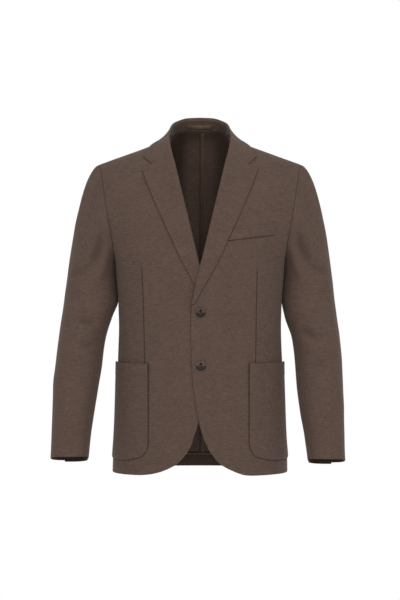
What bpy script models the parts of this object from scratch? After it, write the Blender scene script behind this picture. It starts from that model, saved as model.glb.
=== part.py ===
"""Single-breasted two-button linen blazer, filled out as it is worn, with nobody in it.

Every piece of cloth is a sheet laid on one worn form and given its thickness:
the trunk is a stack of rounded sections that closes over the shoulders, each
sleeve a stack of rings that leaves the armhole, and the lapels, collar, pockets,
welt and tapes are strips of the same form moved out or in.

Frame: +X is the wearer's left, -Y the front, +Z up. The origin is the middle of
the neck, level with the inner ends of the shoulder seams, where the wearer
carries the jacket. Sizes in the tables are millimetres; the scene is in metres.
"""

import bmesh
import bpy
import numpy as np

for old in list(bpy.data.objects):
    bpy.data.objects.remove(old, do_unlink=True)

MM = 0.001
PI = np.pi

# ---------------------------------------------------------------- driving sizes
WALL = 2.0  # linen with its interlining
THIN = 1.8  # lapels, collar, sleeves, pockets
TAPE = 0.9  # bindings and hanger loop
SEAM = 0.3  # between two pieces sewn together
NEAR = 3.0  # first row of faces along a seam, level on both sides of it

HEM_Z = -714.0
BREAK_Z = -362.0  # where the lapels start to roll
ARMPIT_Z = -262.0
JOINT_Z = -238.0  # where the side-body seams meet the armhole

# Trunk sections. square is the exponent of the rounded section, middle its centre in Y.
TRUNK_COLUMNS = ("z", "half_width", "front", "back", "square", "middle")
TRUNK = np.array([
    (-716, 190.0, 134, 130, 2.35, -6),
    (-690, 189.5, 134, 130, 2.35, -6),
    (-640, 186.0, 133, 129, 2.35, -6),
    (-560, 182.3, 130, 123, 2.35, -6),
    (-480, 179.0, 127, 114, 2.32, -6),
    (-410, 176.3, 125, 108, 2.30, -6),
    (-350, 177.3, 124, 110, 2.30, -6),
    (-300, 181.0, 123, 114, 2.32, -6),
    (-262, 184.0, 121, 117, 2.35, -6),
    (-200, 0, 119, 119, 2.35, -3),
    (-130, 0, 116, 116, 2.35, 3),
    (-60, 0, 108, 108, 2.35, 6),
    (0, 0, 97, 92, 2.35, 6),
    (17, 0, 92, 82, 2.35, 6),
    (32, 0, 86, 64, 2.35, 6),
    (60, 0, 72, 44, 2.35, 6),
], float)  # half_width above the armpit comes from the armhole
LOW_ROWS = 9

# Armhole seam seen from the front.
ARMHOLE_COLUMNS = ("z", "x")
ARMHOLE = np.array([
    (-262, 184.0), (-233, 186.5), (-196, 192.0), (-167, 197.5),
    (-136, 203.0), (-97, 208.8), (-65, 215.0), (-47, 220.0),
], float)
ARMHOLE_FRONT, ARMHOLE_BACK = 0.54, 0.50  # how far round the trunk it reaches
# Heights of the armhole's points, from the shoulder down to the armpit.
ARM_Z = (-47.0, -48.4, -55, -66, -84, -112, -146, -180, -212, -238, -250, -258, -262)

# Shoulder: a straight slope that curves up to the neck.
SLOPE, SLOPE_X, SLOPE_Z = 0.3586, 75.0, 5.0
NECK_X = 68.0
SHOULDER_X = 220.0
ROUND_FRONT, ROUND_BACK = 170.0, 165.0  # height over which the shoulder rounds off

# Back neck seam and front edges, seen from the front (z, x).
BACK_NECK = np.array([(0, 31.5), (25, 31.3), (40, 30), (52, 26.5), (61, 21), (68, 14.1)], float)
ROLL_TOP = (63.4, -16.5)
EDGE_COLUMNS = ("z", "x")
ROLL = [(-321, -10.5), (-280.7, -1.6), (-250, 6.3), (-176, 24.2), (-91, 45.0), (-45, 56.6), (-16.5, 63.4),
        (0, 64.8), (9, 66.4), (12.5, 67.5), (14.1, 68.0)]
EDGE = {
    # wearer's left front, on top
    1: np.array([(-679, 33.9), (-657.5, 18.5), (-629.7, 6.1), (-595.8, -3.2), (-552.7, -10.7),
                 (-512.9, -15.4), (-466.6, -18.5), (-414, -19.8), (-362, -18.4)] + ROLL, float),
    # wearer's right front, underneath
    -1: np.array([(-679, 39.0), (-657.5, 22.8), (-629.7, 12.2), (-600.6, 3.2), (-552.7, -6.0),
                  (-512.9, -12.0), (-466.6, -16.5), (-414, -19.0), (-362, -18.4)] + ROLL, float),
}
# Cutaway between that corner and the straight hem (x, z).
CUTAWAY = {
    1: np.array([(33.9, -679), (43, -688.3), (61.7, -699.4), (89.6, -711.0), (108.3, -713.7), (159, -714)], float),
    -1: np.array([(39.0, -679), (49.5, -688.6), (77.4, -702.9), (102, -710.0), (124, -713.0), (159, -714)], float),
}
# Rows of the fronts: height at the front edge and at the side.
FRONT_ROWS = (
    (-679, -714), (-657, -697), (-626, -668), (-584, -615), (-520, -548),
    (-455, -478), (-402, -418), (-362, -370), (-322, -325), (-281, -283), (-238, -238),
    (-206, -212), (-166, -180), (-126, -146), (-88, -112), (-56, -84), (-34, -66),
    (-16.5, -55), (6, -48.4), (14.0, -47.06), (14.1, -47),
)
SEAM_Z = tuple(row[1] for row in FRONT_ROWS[:11])
# Rows of the backs: height at the side and at centre back.
BACK_ROWS = tuple((z, z) for z in SEAM_Z) + (
    (-212, -206), (-180, -170), (-146, -130), (-112, -92), (-84, -58), (-66, -28),
    (-55, 0), (-48.4, 20), (-47.06, 30.5), (-47, 31.5),
)
# Side-body seams, as angles round the trunk (0 centre front, 90 side, 180 centre back).
SIDE_COLUMNS = ("z", "front_seam", "back_seam")
SIDE = np.array([(-716, 53, 114), (-680, 54.5, 114), (-560, 65, 114), (-470, 73, 113), (-330, 75, 112)], float)

# Lapel: outer edge seen from the front (z, x), and the gorge with its notch (x, z).
LAPEL_EDGE = np.array([(-356, -13.0), (-332, -1.0), (-303.5, 15.4), (-263, 37.2), (-216.5, 59.0), (-169.6, 80.7),
                       (-122.2, 101.5), (-79, 118.8), (-63.9, 124.2)], float)
NOTCH = (102.6, -51.8)
COLLAR_TIP = (120.3, -35.0)
# Height of the lapel's face above the front, by distance from the roll line.
ROLL_COLUMNS = ("distance", "height")
ROLL_SECTION = np.array([(0, 0.8), (-0.7, 2.2), (0.2, 4.2), (3.0, 5.4), (8.0, 5.0), (17, 3.9), (32, 3.1)], float)
LAPEL_FLAT = 2.9
GORGE_SHARE = 0.42  # of the lapel's flat part that the gorge takes

# Collar: fold line and outer edge, from centre back to the gorge.
FOLD = np.array([(0, 70, 62.3), (27, 64.5, 60.6), (47.5, 48.5, 53.2), (58.6, 28, 44.6), (63.6, 6, 30.8),
                 (66, -14, 14), (65, -33, -1), (63.4, -51, -16.5)], float)
FOLD_COLUMNS = ("out", "up", "share")  # section of the collar: out from the fold, up from it, and share of the way to the edge
FOLD_SECTION = np.array([(0, -3.2, 0), (0.2, -1.2, 0), (1.8, 0.0, 0), (3.8, -1.4, 0), (4.9, -4.2, 0.04),
                         (4.9, -4.6, 0.2), (4.0, -3.0, 0.42), (2.6, -1.2, 0.64), (1.0, 0.0, 0.84), (0, 0, 1)], float)
LEAF_EDGE = np.array([(0, 92), (31, 91), (58, 73.5), (79, 49), (93, 20), (102.5, -5), (111.5, -25), (120.3, -43)], float)

# Left front lies over the right one: how far it stands out, by height.
LIFT = np.array([(-716, 0.4), (-665, 1.2), (-612, 2.8), (-400, 2.8), (-376, 3.6), (-350, 6.2), (-275, 6.2),
                 (-235, 3.0), (-190, 0.6), (-150, 0)], float)

# Sleeve rings: height, outer and inner edge seen from the front, middle in Y, half depth, slope of the ring.
SLEEVE_COLUMNS = ("z", "outer", "inner", "middle", "half_depth", "slope")
SLEEVE = {
    -1: np.array([(-300, 291.0, 181.9, 8, 68, 0.00), (-342, 296.0, 180.6, 4, 66, 0.00),
                  (-377, 300.4, 190.2, -6, 64, 0.02), (-429, 306.6, 205.4, -21, 61, 0.07),
                  (-481, 312.2, 211.7, -32, 58, 0.13), (-532, 317.0, 219.5, -41, 55, 0.17),
                  (-583, 317.5, 227.4, -50, 51.5, 0.19), (-634, 318.8, 233.8, -58, 48, 0.21),
                  (-687.5, 320.3, 239.0, -66, 45, 0.217)], float),
    1: np.array([(-300, 289.5, 181.9, 8, 68, 0.00), (-342, 293.8, 180.0, 4, 66, 0.00),
                 (-377, 297.6, 183.8, -6, 64, 0.02), (-429, 303.4, 200.0, -22, 61, 0.08),
                 (-481, 307.1, 205.4, -34, 58, 0.14), (-532, 308.3, 209.1, -44, 55, 0.18),
                 (-583, 309.8, 215.2, -53, 51.5, 0.20), (-634, 309.8, 223.3, -61, 48, 0.215),
                 (-692, 311.3, 230.5, -69, 45, 0.217)], float),
}
HINDARM, FOREARM = 5, 8  # points of the armhole, counted from the shoulder; the sleeve seams start half a point on
VENT_STEP = 3.0  # the under sleeve hangs this much lower at the cuff vent

# Patch pockets: inner edge, top and bottom, rounded corner, angle of the back edge.
POCKET_INNER = {1: 102.8, -1: 108.5}
POCKET_TOP, POCKET_BOTTOM, POCKET_CORNER, POCKET_BACK = -476.0, -685.0, 42.0, 97.0
POCKET_MOUTH, POCKET_FLAT = 4.6, 2.5  # how far its face stands out at the mouth and at the bottom

# Breast welt: corners (x, z).
WELT = {"low_inner": (60.6, -217.3), "low_outer": (161.0, -204.5), "top_outer": (163.6, -178.2), "top_inner": (73.2, -189.6)}

BUTTON_R, BUTTON_H = 10.3, 4.0
BUTTONS = {"button_upper": (1.5, -367.6), "button_lower": (2.1, -480.2)}

LOOP_HALF, LOOP_LOW, LOOP_TOP = 27.0, 36.0, 43.8
TURNUP = 25.0
TURNUP_HALF = 48.0  # degrees each side of centre back
HEM_TAPE = 4.0
SEAM_TAPE = np.array([(28.5, 1.6, 9.4), (0, 1.8, 9.6), (-45, 3.2, 8.0), (-300, 3.6, 8.2), (-684, 4.2, 9.6)], float)


# ---------------------------------------------------------------- curves
def smooth(x, xs, ys):
    """Curve through a table's rows that doesn't overshoot between them."""
    xs, ys = np.asarray(xs, float), np.asarray(ys, float)
    if xs[0] > xs[-1]:
        xs, ys = xs[::-1], ys[::-1]
    step = np.diff(xs)
    rise = np.diff(ys) / step
    slope = np.empty_like(ys)
    slope[0], slope[-1] = rise[0], rise[-1]
    before, after = rise[:-1], rise[1:]
    wa, wb = 2 * step[1:] + step[:-1], step[1:] + 2 * step[:-1]
    same = before * after > 0
    slope[1:-1] = np.where(same, (wa + wb) / (wa / np.where(same, before, 1) + wb / np.where(same, after, 1)), 0)
    x = np.clip(np.asarray(x, float), xs[0], xs[-1])
    k = np.clip(np.searchsorted(xs, x, side="right") - 1, 0, len(step) - 1)
    t = (x - xs[k]) / step[k]
    return ((1 + 2 * t) * (1 - t) ** 2 * ys[k] + t * (1 - t) ** 2 * step[k] * slope[k]
            + t * t * (3 - 2 * t) * ys[k + 1] + t * t * (t - 1) * step[k] * slope[k + 1])


def along(points, t):
    """Point at fraction t of the way along a table of points, rounded through them."""
    points = np.asarray(points, float)
    length = np.concatenate([[0], np.cumsum(np.linalg.norm(np.diff(points, axis=0), axis=1))])
    t = np.clip(np.asarray(t, float), 0, 1) * length[-1]
    tangent = np.empty_like(points)
    tangent[1:-1] = (points[2:] - points[:-2]) / (length[2:] - length[:-2])[:, None]
    tangent[0] = (points[1] - points[0]) / (length[1] - length[0])
    tangent[-1] = (points[-1] - points[-2]) / (length[-1] - length[-2])
    k = np.clip(np.searchsorted(length, t, side="right") - 1, 0, len(points) - 2)
    h = (length[k + 1] - length[k])[..., None]
    s = ((t - length[k]) / (length[k + 1] - length[k]))[..., None]
    return ((1 + 2 * s) * (1 - s) ** 2 * points[k] + s * (1 - s) ** 2 * h * tangent[k]
            + s * s * (3 - 2 * s) * points[k + 1] + s * s * (s - 1) * h * tangent[k + 1])


def ease(t):
    t = np.clip(t, 0, 1)
    return t * t * (3 - 2 * t)


# ---------------------------------------------------------------- trunk
def ridge(x):
    """Height of the shoulder line at x."""
    x = np.abs(x)
    return (SLOPE_Z + SLOPE * (SLOPE_X - x) + 0.009 * np.clip(95 - x, 0, None) ** 2
            + 0.06 * np.clip(NECK_X - x, 0, None) ** 2)


def reach(z, most):
    """How far round the trunk the armhole is cut at height z: nothing at the armpit."""
    h = np.clip((z - ARMPIT_Z) / 110.0, 0, 1)
    return most * np.sqrt(np.clip(1 - (1 - h) ** 2, 0, None))


def section(z):
    z = np.asarray(z, float)
    low = TRUNK[:LOW_ROWS]
    column = [smooth(z, TRUNK[:, 0], TRUNK[:, i]) for i in (2, 3, 4, 5)]
    front, back, square, middle = column
    width = smooth(z, low[:, 0], low[:, 1])
    arm = smooth(z, ARMHOLE[:, 0], ARMHOLE[:, 1])
    up = z > ARMPIT_Z
    wide_front = np.where(up, arm / (1 - reach(z, ARMHOLE_FRONT) ** square) ** (1 / square), width)
    wide_back = np.where(up, arm / (1 - reach(z, ARMHOLE_BACK) ** square) ** (1 / square), width)
    return wide_front, wide_back, front, back, square, middle, arm


def rounding(below, height, power):
    """0 on the shoulder line, 1 where the shoulder has rounded into the trunk."""
    return np.clip(1 - (1 - np.clip(below / height, 0, 1)) ** 2, 0, None) ** (1 / power)


def back_power(x):
    return 2.4 + 2.2 * ease((150 - np.abs(x)) / 80.0)


def trunk(angle, z):
    """Outer face at an angle round the trunk (radians, 0 centre front, pi centre back)."""
    angle, z = np.broadcast_arrays(np.asarray(angle, float), np.asarray(z, float))
    wide_front, wide_back, front, back, square, middle, _ = section(z)
    s, c = np.sin(angle), np.cos(angle)
    r = (np.abs(s) ** square + np.abs(c) ** square) ** (-1 / square)
    ahead = c > 0
    x = np.where(ahead, wide_front, wide_back) * r * s
    below = ridge(x) - z
    depth = np.where(ahead, front * rounding(below, ROUND_FRONT, 2.0), back * rounding(below, ROUND_BACK, back_power(x)))
    return np.stack([x, middle - depth * r * c, z], -1)


def trunk_normal(angle, z):
    e = 0.002
    da = trunk(angle + e, z) - trunk(angle - e, z)
    dz = trunk(angle, z + 0.4) - trunk(angle, z - 0.4)
    n = np.cross(da, dz)
    return n / np.maximum(np.linalg.norm(n, axis=-1, keepdims=True), 1e-9)


def angle_at(x, z, back=False):
    """Angle round the trunk of the point seen at x, z."""
    wide_front, wide_back, _, _, square, _, _ = section(z)
    q = np.clip(np.abs(x) / (wide_back if back else wide_front), 0, 1)
    angle = np.arctan2(q, (1 - q ** square) ** (1 / square)) * np.where(np.asarray(x) < 0, -1, 1)
    return PI - angle if back else angle


def top_height(x, y):
    """Height of the trunk's surface over the plan point x, y, on the shoulders and upper back."""
    x, y = np.broadcast_arrays(np.asarray(x, float), np.asarray(y, float))
    low, high = np.full(x.shape, -150.0), ridge(x)
    for _ in range(40):
        z = (low + high) / 2
        on_front = trunk(angle_at(x, z), z)[..., 1]
        on_back = trunk(angle_at(x, z, True), z)[..., 1]
        inside = (y > on_front) & (y < on_back)
        low, high = np.where(inside, z, low), np.where(inside, high, z)
    return (low + high) / 2


def lift(x, z):
    """How far the left front stands out where it lies over the right one."""
    return smooth(z, LIFT[:, 0], LIFT[:, 1]) * (1 - ease((x - 24) / 56.0))


def front_face(x, z, side):
    """Outer face of a front at x, z, with x measured towards its own side."""
    p = trunk(angle_at(x, z), z)
    if side > 0:
        p[..., 1] -= lift(x, z)
    return p


def front_normal(x, z, side):
    du = front_face(x + 0.5, z, side) - front_face(x - 0.5, z, side)
    dz = front_face(x, z + 0.5, side) - front_face(x, z - 0.5, side)
    n = np.cross(du, dz)
    return n / np.linalg.norm(n, axis=-1, keepdims=True)


# ---------------------------------------------------------------- armhole
def armhole_angle(z, back=False):
    _, _, _, _, square, _, _ = section(z)
    k = reach(z, ARMHOLE_BACK if back else ARMHOLE_FRONT)
    angle = np.arctan2((1 - k ** square) ** (1 / square), k)
    return PI - angle if back else angle


def armhole_ring():
    """Angles and heights of the armhole's points: down the front from the shoulder and up the back."""
    z = np.array(ARM_Z)
    front = np.stack([armhole_angle(z), z], 1)
    back = np.stack([armhole_angle(z, True), z], 1)[::-1]
    return np.concatenate([front, back[1:-1]])


def seam_angle(z, column, back):
    """A side-body seam, which runs into the armhole at JOINT_Z."""
    zs = np.append(SIDE[:, 0], JOINT_Z)
    angles = np.append(np.radians(SIDE[:, column]), armhole_angle(np.array(JOINT_Z), back))
    return smooth(z, zs, angles)


def side_line(z, back):
    """Side seam up to the armhole and then the armhole up to the shoulder."""
    z = np.asarray(z, float)
    return np.where(z < JOINT_Z, seam_angle(z, 2 if back else 1, back), armhole_angle(np.maximum(z, JOINT_Z), back))


# ---------------------------------------------------------------- making sheets
def stations(count, width, seams=(True, True)):
    """Fractions across a piece: even, with a narrow first column at each seam and half the gap left clear."""
    gap, near = 0.5 * SEAM / width, NEAR / width
    inner = np.linspace(0, 1, count)
    out = []
    if seams[0]:
        out += [gap, near]
    else:
        out += [0.0]
    out += list(inner[1:-1])
    if seams[1]:
        out += [1 - near, 1 - gap]
    else:
        out += [1.0]
    return np.array(out)


def ruled(left, right, bottom=None, top=None, level=1.0):
    """Sheet in a flat map (angle or x, height) between a left and a right line, bent to given ends.

    From v = level up the rows follow the top line in full.
    """
    def at(u, v):
        a, b = left(v), right(v)
        p = a + (b - a) * u[:, None]
        if bottom is not None:
            zero = np.zeros_like(u)
            flat = left(zero) + (right(zero) - left(zero)) * u[:, None]
            p = p + ((1 - v) ** 3)[:, None] * (bottom(u) - flat)
        if top is not None:
            one = np.ones_like(u)
            flat = left(one) + (right(one) - left(one)) * u[:, None]
            p = p + (np.clip(v / level, 0, 1) ** 2)[:, None] * (top(u) - flat)
        return p
    return at


collection = bpy.data.collections.new("linen_blazer")
bpy.context.scene.collection.children.link(collection)


def material(name, colour, roughness, metallic=0.0):
    made = bpy.data.materials.new(name)
    made.use_nodes = True
    shader = made.node_tree.nodes["Principled BSDF"]
    shader.inputs["Base Color"].default_value = (*colour, 1)
    shader.inputs["Roughness"].default_value = roughness
    shader.inputs["Metallic"].default_value = metallic
    return made


LINEN = material("brown_linen", (0.105, 0.070, 0.054), 0.9)
TOP_LINEN = material("brown_linen_facing", (0.115, 0.077, 0.060), 0.9)
GOLD = material("golden_brown_tape", (0.30, 0.17, 0.065), 0.7)
HORN = material("brown_horn", (0.07, 0.035, 0.022), 0.35)


def sheet(name, point, us, vs, wall, skin, centre, inward=False):
    """Open sheet mapped from a grid and thickened away from its face.

    point(u, v) gives the face in millimetres, and centre(points) what it faces away
    from, so that the wall goes the other way. With inward the face is the hollow side.
    """
    mesh = bpy.data.meshes.new(name)
    grid = bmesh.new()
    bmesh.ops.create_grid(grid, x_segments=len(us) - 1, y_segments=len(vs) - 1, size=1.0)
    verts = list(grid.verts)
    column = np.array([round((v.co.x + 1) / 2 * (len(us) - 1)) for v in verts])
    row = np.array([round((v.co.y + 1) / 2 * (len(vs) - 1)) for v in verts])
    place = point(np.asarray(us)[column], np.asarray(vs)[row])
    for v, p in zip(verts, place):
        v.co = p * MM
    grid.normal_update()
    middle = centre(np.array([f.calc_center_median()[:] for f in grid.faces]) / MM)
    side = sum(float(np.dot(f.normal, np.array(f.calc_center_median()) / MM - m)) * f.calc_area()
               for f, m in zip(grid.faces, middle))
    if (side < 0) != inward:
        bmesh.ops.reverse_faces(grid, faces=grid.faces[:])
    grid.to_mesh(mesh)
    grid.free()
    mesh.materials.append(skin)
    piece = bpy.data.objects.new(name, mesh)
    collection.objects.link(piece)
    thick = piece.modifiers.new("wall", "SOLIDIFY")
    thick.thickness = wall * MM
    thick.offset = -1
    thick.use_even_offset = True
    thick.use_quality_normals = True
    mesh.shade_smooth()
    return piece


def trunk_axis(p):
    return np.stack([p[:, 0] * 0.55, p[:, 1] * 0 - 3, np.minimum(p[:, 2], -90)], 1)


def mirrored(p, side):
    return p * np.array([side, 1, 1])


# ---------------------------------------------------------------- fronts, side bodies, backs
def make_front(side):
    edge, cut = EDGE[side], CUTAWAY[side]
    rows = np.array(FRONT_ROWS, float)
    v_rows = np.linspace(0, 1, len(rows))

    def left(v):
        z = np.interp(v, v_rows, rows[:, 0])
        return np.stack([angle_at(smooth(z, edge[:, 0], edge[:, 1]), z), z], -1)

    def right(v):
        z = np.interp(v, v_rows, rows[:, 1])
        return np.stack([side_line(z, False), z], -1)

    def bottom(u):
        p = along(cut, u)
        return np.stack([angle_at(p[..., 0], p[..., 1]), p[..., 1]], -1)

    def top(u):
        x = NECK_X + (SHOULDER_X - NECK_X) * u
        z = ridge(x)
        return np.stack([angle_at(x, z), z], -1)

    flat = ruled(left, right, bottom, top, v_rows[-2])

    def point(u, v):
        m = flat(u, v)
        p = trunk(m[:, 0], m[:, 1])
        if side > 0:
            p[:, 1] -= lift(p[:, 0], p[:, 2])
        p[:, 1] -= 0.5 * SEAM * (v > 1 - 1e-6)  # clear of the back along the shoulder
        return mirrored(p, side)

    us = stations(7, 190.0, (False, True))
    sheet("front_left" if side > 0 else "front_right", point, us, v_rows, WALL, LINEN, trunk_axis)


def make_side(side):
    zs = np.array(SEAM_Z)
    v_rows = np.linspace(0, 1, len(zs))
    ring = armhole_ring()
    first, last = ARM_Z.index(JOINT_Z), len(ring) - ARM_Z.index(JOINT_Z)
    under = ring[first:last + 1]

    def left(v):
        z = np.interp(v, v_rows, zs)
        return np.stack([seam_angle(z, 1, False), z], -1)

    def right(v):
        z = np.interp(v, v_rows, zs)
        return np.stack([seam_angle(z, 2, True), z], -1)

    us_top = (under[:, 0] - under[0, 0]) / (under[-1, 0] - under[0, 0])

    def top(u):
        return np.stack([np.interp(u, us_top, under[:, 0]), np.interp(u, us_top, under[:, 1])], -1)

    flat = ruled(left, right, None, top)

    def point(u, v):
        m = flat(u, v)
        return mirrored(trunk(m[:, 0], m[:, 1]), side)

    gap, near = 0.5 * SEAM / 150.0, NEAR / 150.0
    us = np.concatenate([[gap, near], us_top[1:-1], [1 - near, 1 - gap]])
    sheet("side_left" if side > 0 else "side_right", point, us, v_rows, WALL, LINEN, trunk_axis)


def make_back(side):
    rows = np.array(BACK_ROWS, float)
    v_rows = np.linspace(0, 1, len(rows))
    neck_share = 0.34

    def left(v):
        z = np.interp(v, v_rows, rows[:, 0])
        return np.stack([side_line(z, True), z], -1)

    def right(v):
        z = np.interp(v, v_rows, rows[:, 1])
        return np.stack([np.full_like(z, PI), z], -1)

    def top(u):
        x = np.where(u < 1 - neck_share, SHOULDER_X + (NECK_X - SHOULDER_X) * u / (1 - neck_share),
                     NECK_X * (1 - u) / neck_share)
        z = np.where(x >= NECK_X, ridge(x), smooth(x, BACK_NECK[:, 0], BACK_NECK[:, 1]))
        return np.stack([angle_at(x, z, True), z], -1)

    flat = ruled(left, right, None, top, v_rows[-2])

    def point(u, v):
        m = flat(u, v)
        p = trunk(m[:, 0], m[:, 1])
        p[:, 0] = np.where(u > 1 - 1e-9, 0.5 * SEAM, p[:, 0])
        p[:, 1] += 0.5 * SEAM * ((v > 1 - 1e-6) & (u < 1 - neck_share + 1e-6))
        return mirrored(p, side)

    gap, near = 0.5 * SEAM / 190.0, NEAR / 190.0
    us = np.array([gap, near, 0.15, 0.32, 0.5, 1 - neck_share, 0.77, 0.88, 1 - near, 1.0])
    sheet("back_left" if side > 0 else "back_right", point, us, v_rows, WALL, LINEN, trunk_axis)


# ---------------------------------------------------------------- lapels and collar
def roll_offset(distance, width, flatten):
    """(sideways, outwards) of the lapel's face at a distance from the roll line."""
    size = np.clip(width / 30.0, 0, 1) * (1 - flatten)
    steps = np.linspace(0, 1, len(ROLL_SECTION))
    side = smooth(distance, steps, ROLL_SECTION[:, 0])
    height = smooth(distance, steps, ROLL_SECTION[:, 1])
    low = 2.4 * ease(distance / 0.34) + 0.5 * (1 - ease(distance / 0.34))
    return side * np.maximum(size, 0.12), low + (height - low) * size


def make_lapel(side):
    rows_edge = np.array([(-352, -350), (-336, -330), (-312, -303), (-281, -263), (-250, -228), (-212, -193),
                          (-172, -158), (-130, -125), (-90, -98), (-52, -78), (-30, -68.5), ROLL_TOP[1:] + (-63.9,)], float)
    v_rows = np.linspace(0, 1, len(rows_edge))
    edge = EDGE[side]
    roll_steps = np.array([0, 0.25, 0.5, 0.68, 0.84, 1.0])  # rolled part, then the flat leaf
    flat_steps = np.array([0.2, GORGE_SHARE, 0.7, 1.0])

    def point(u, v):
        zl, zr = np.interp(v, v_rows, rows_edge[:, 0]), np.interp(v, v_rows, rows_edge[:, 1])
        inner = np.stack([smooth(zl, edge[:, 0], edge[:, 1]), zl], -1)
        outer = np.stack([smooth(zr, LAPEL_EDGE[:, 0], LAPEL_EDGE[:, 1]), zr], -1)
        across = outer - inner
        width = np.linalg.norm(across, axis=1)
        unit = across / width[:, None]
        flatten = ease((-262 - zl) / 26.0) if side < 0 else np.zeros_like(zl)
        rolled = np.minimum(32.0, 0.45 * width)
        s = np.clip(u, 0, 1)  # 0..1 over the rolled part, 1..2 over the rest
        sideways, height = roll_offset(s, width, flatten)
        distance = np.where(u <= 1, sideways * rolled / 32.0, rolled + (width - rolled) * (u - 1))
        height = np.where(u <= 1, height, height + (LAPEL_FLAT - 0.4 * flatten - height) * ease((u - 1) * 1.4))
        m = inner + unit * distance[:, None]
        height = height + 0.8 * ease((m[:, 1] + 130) / 40.0) * np.clip(u, 0, 1)
        # the upper edge is the gorge, which bends at the notch
        w = ease((v - 0.86) / 0.14)[:, None]
        m = m * (1 - w) + (m + gorge_bend(distance / width)) * w
        m[:, 1] -= SEAM * (v > 1 - 1e-6)
        p = front_face(m[:, 0], m[:, 1], side) + front_normal(m[:, 0], m[:, 1], side) * height[:, None]
        return mirrored(p, side)

    us = np.concatenate([roll_steps, 1 + flat_steps])
    sheet("lapel_left" if side > 0 else "lapel_right", point, us, v_rows, THIN, TOP_LINEN, trunk_axis)


def gorge_bend(share):
    """Offset (x, z) from the straight line between the roll and the lapel's tip to the gorge and notch."""
    start, tip = np.array(ROLL_TOP), np.array((LAPEL_EDGE[-1, 1], LAPEL_EDGE[-1, 0]))
    notch = 32.0 / np.linalg.norm(tip - start) * (1 - GORGE_SHARE) + GORGE_SHARE
    off = np.array(NOTCH) - (start + (tip - start) * notch)
    size = np.where(share < notch, share / notch, (1 - share) / (1 - notch))
    return np.clip(size, 0, 1)[:, None] * off


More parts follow.
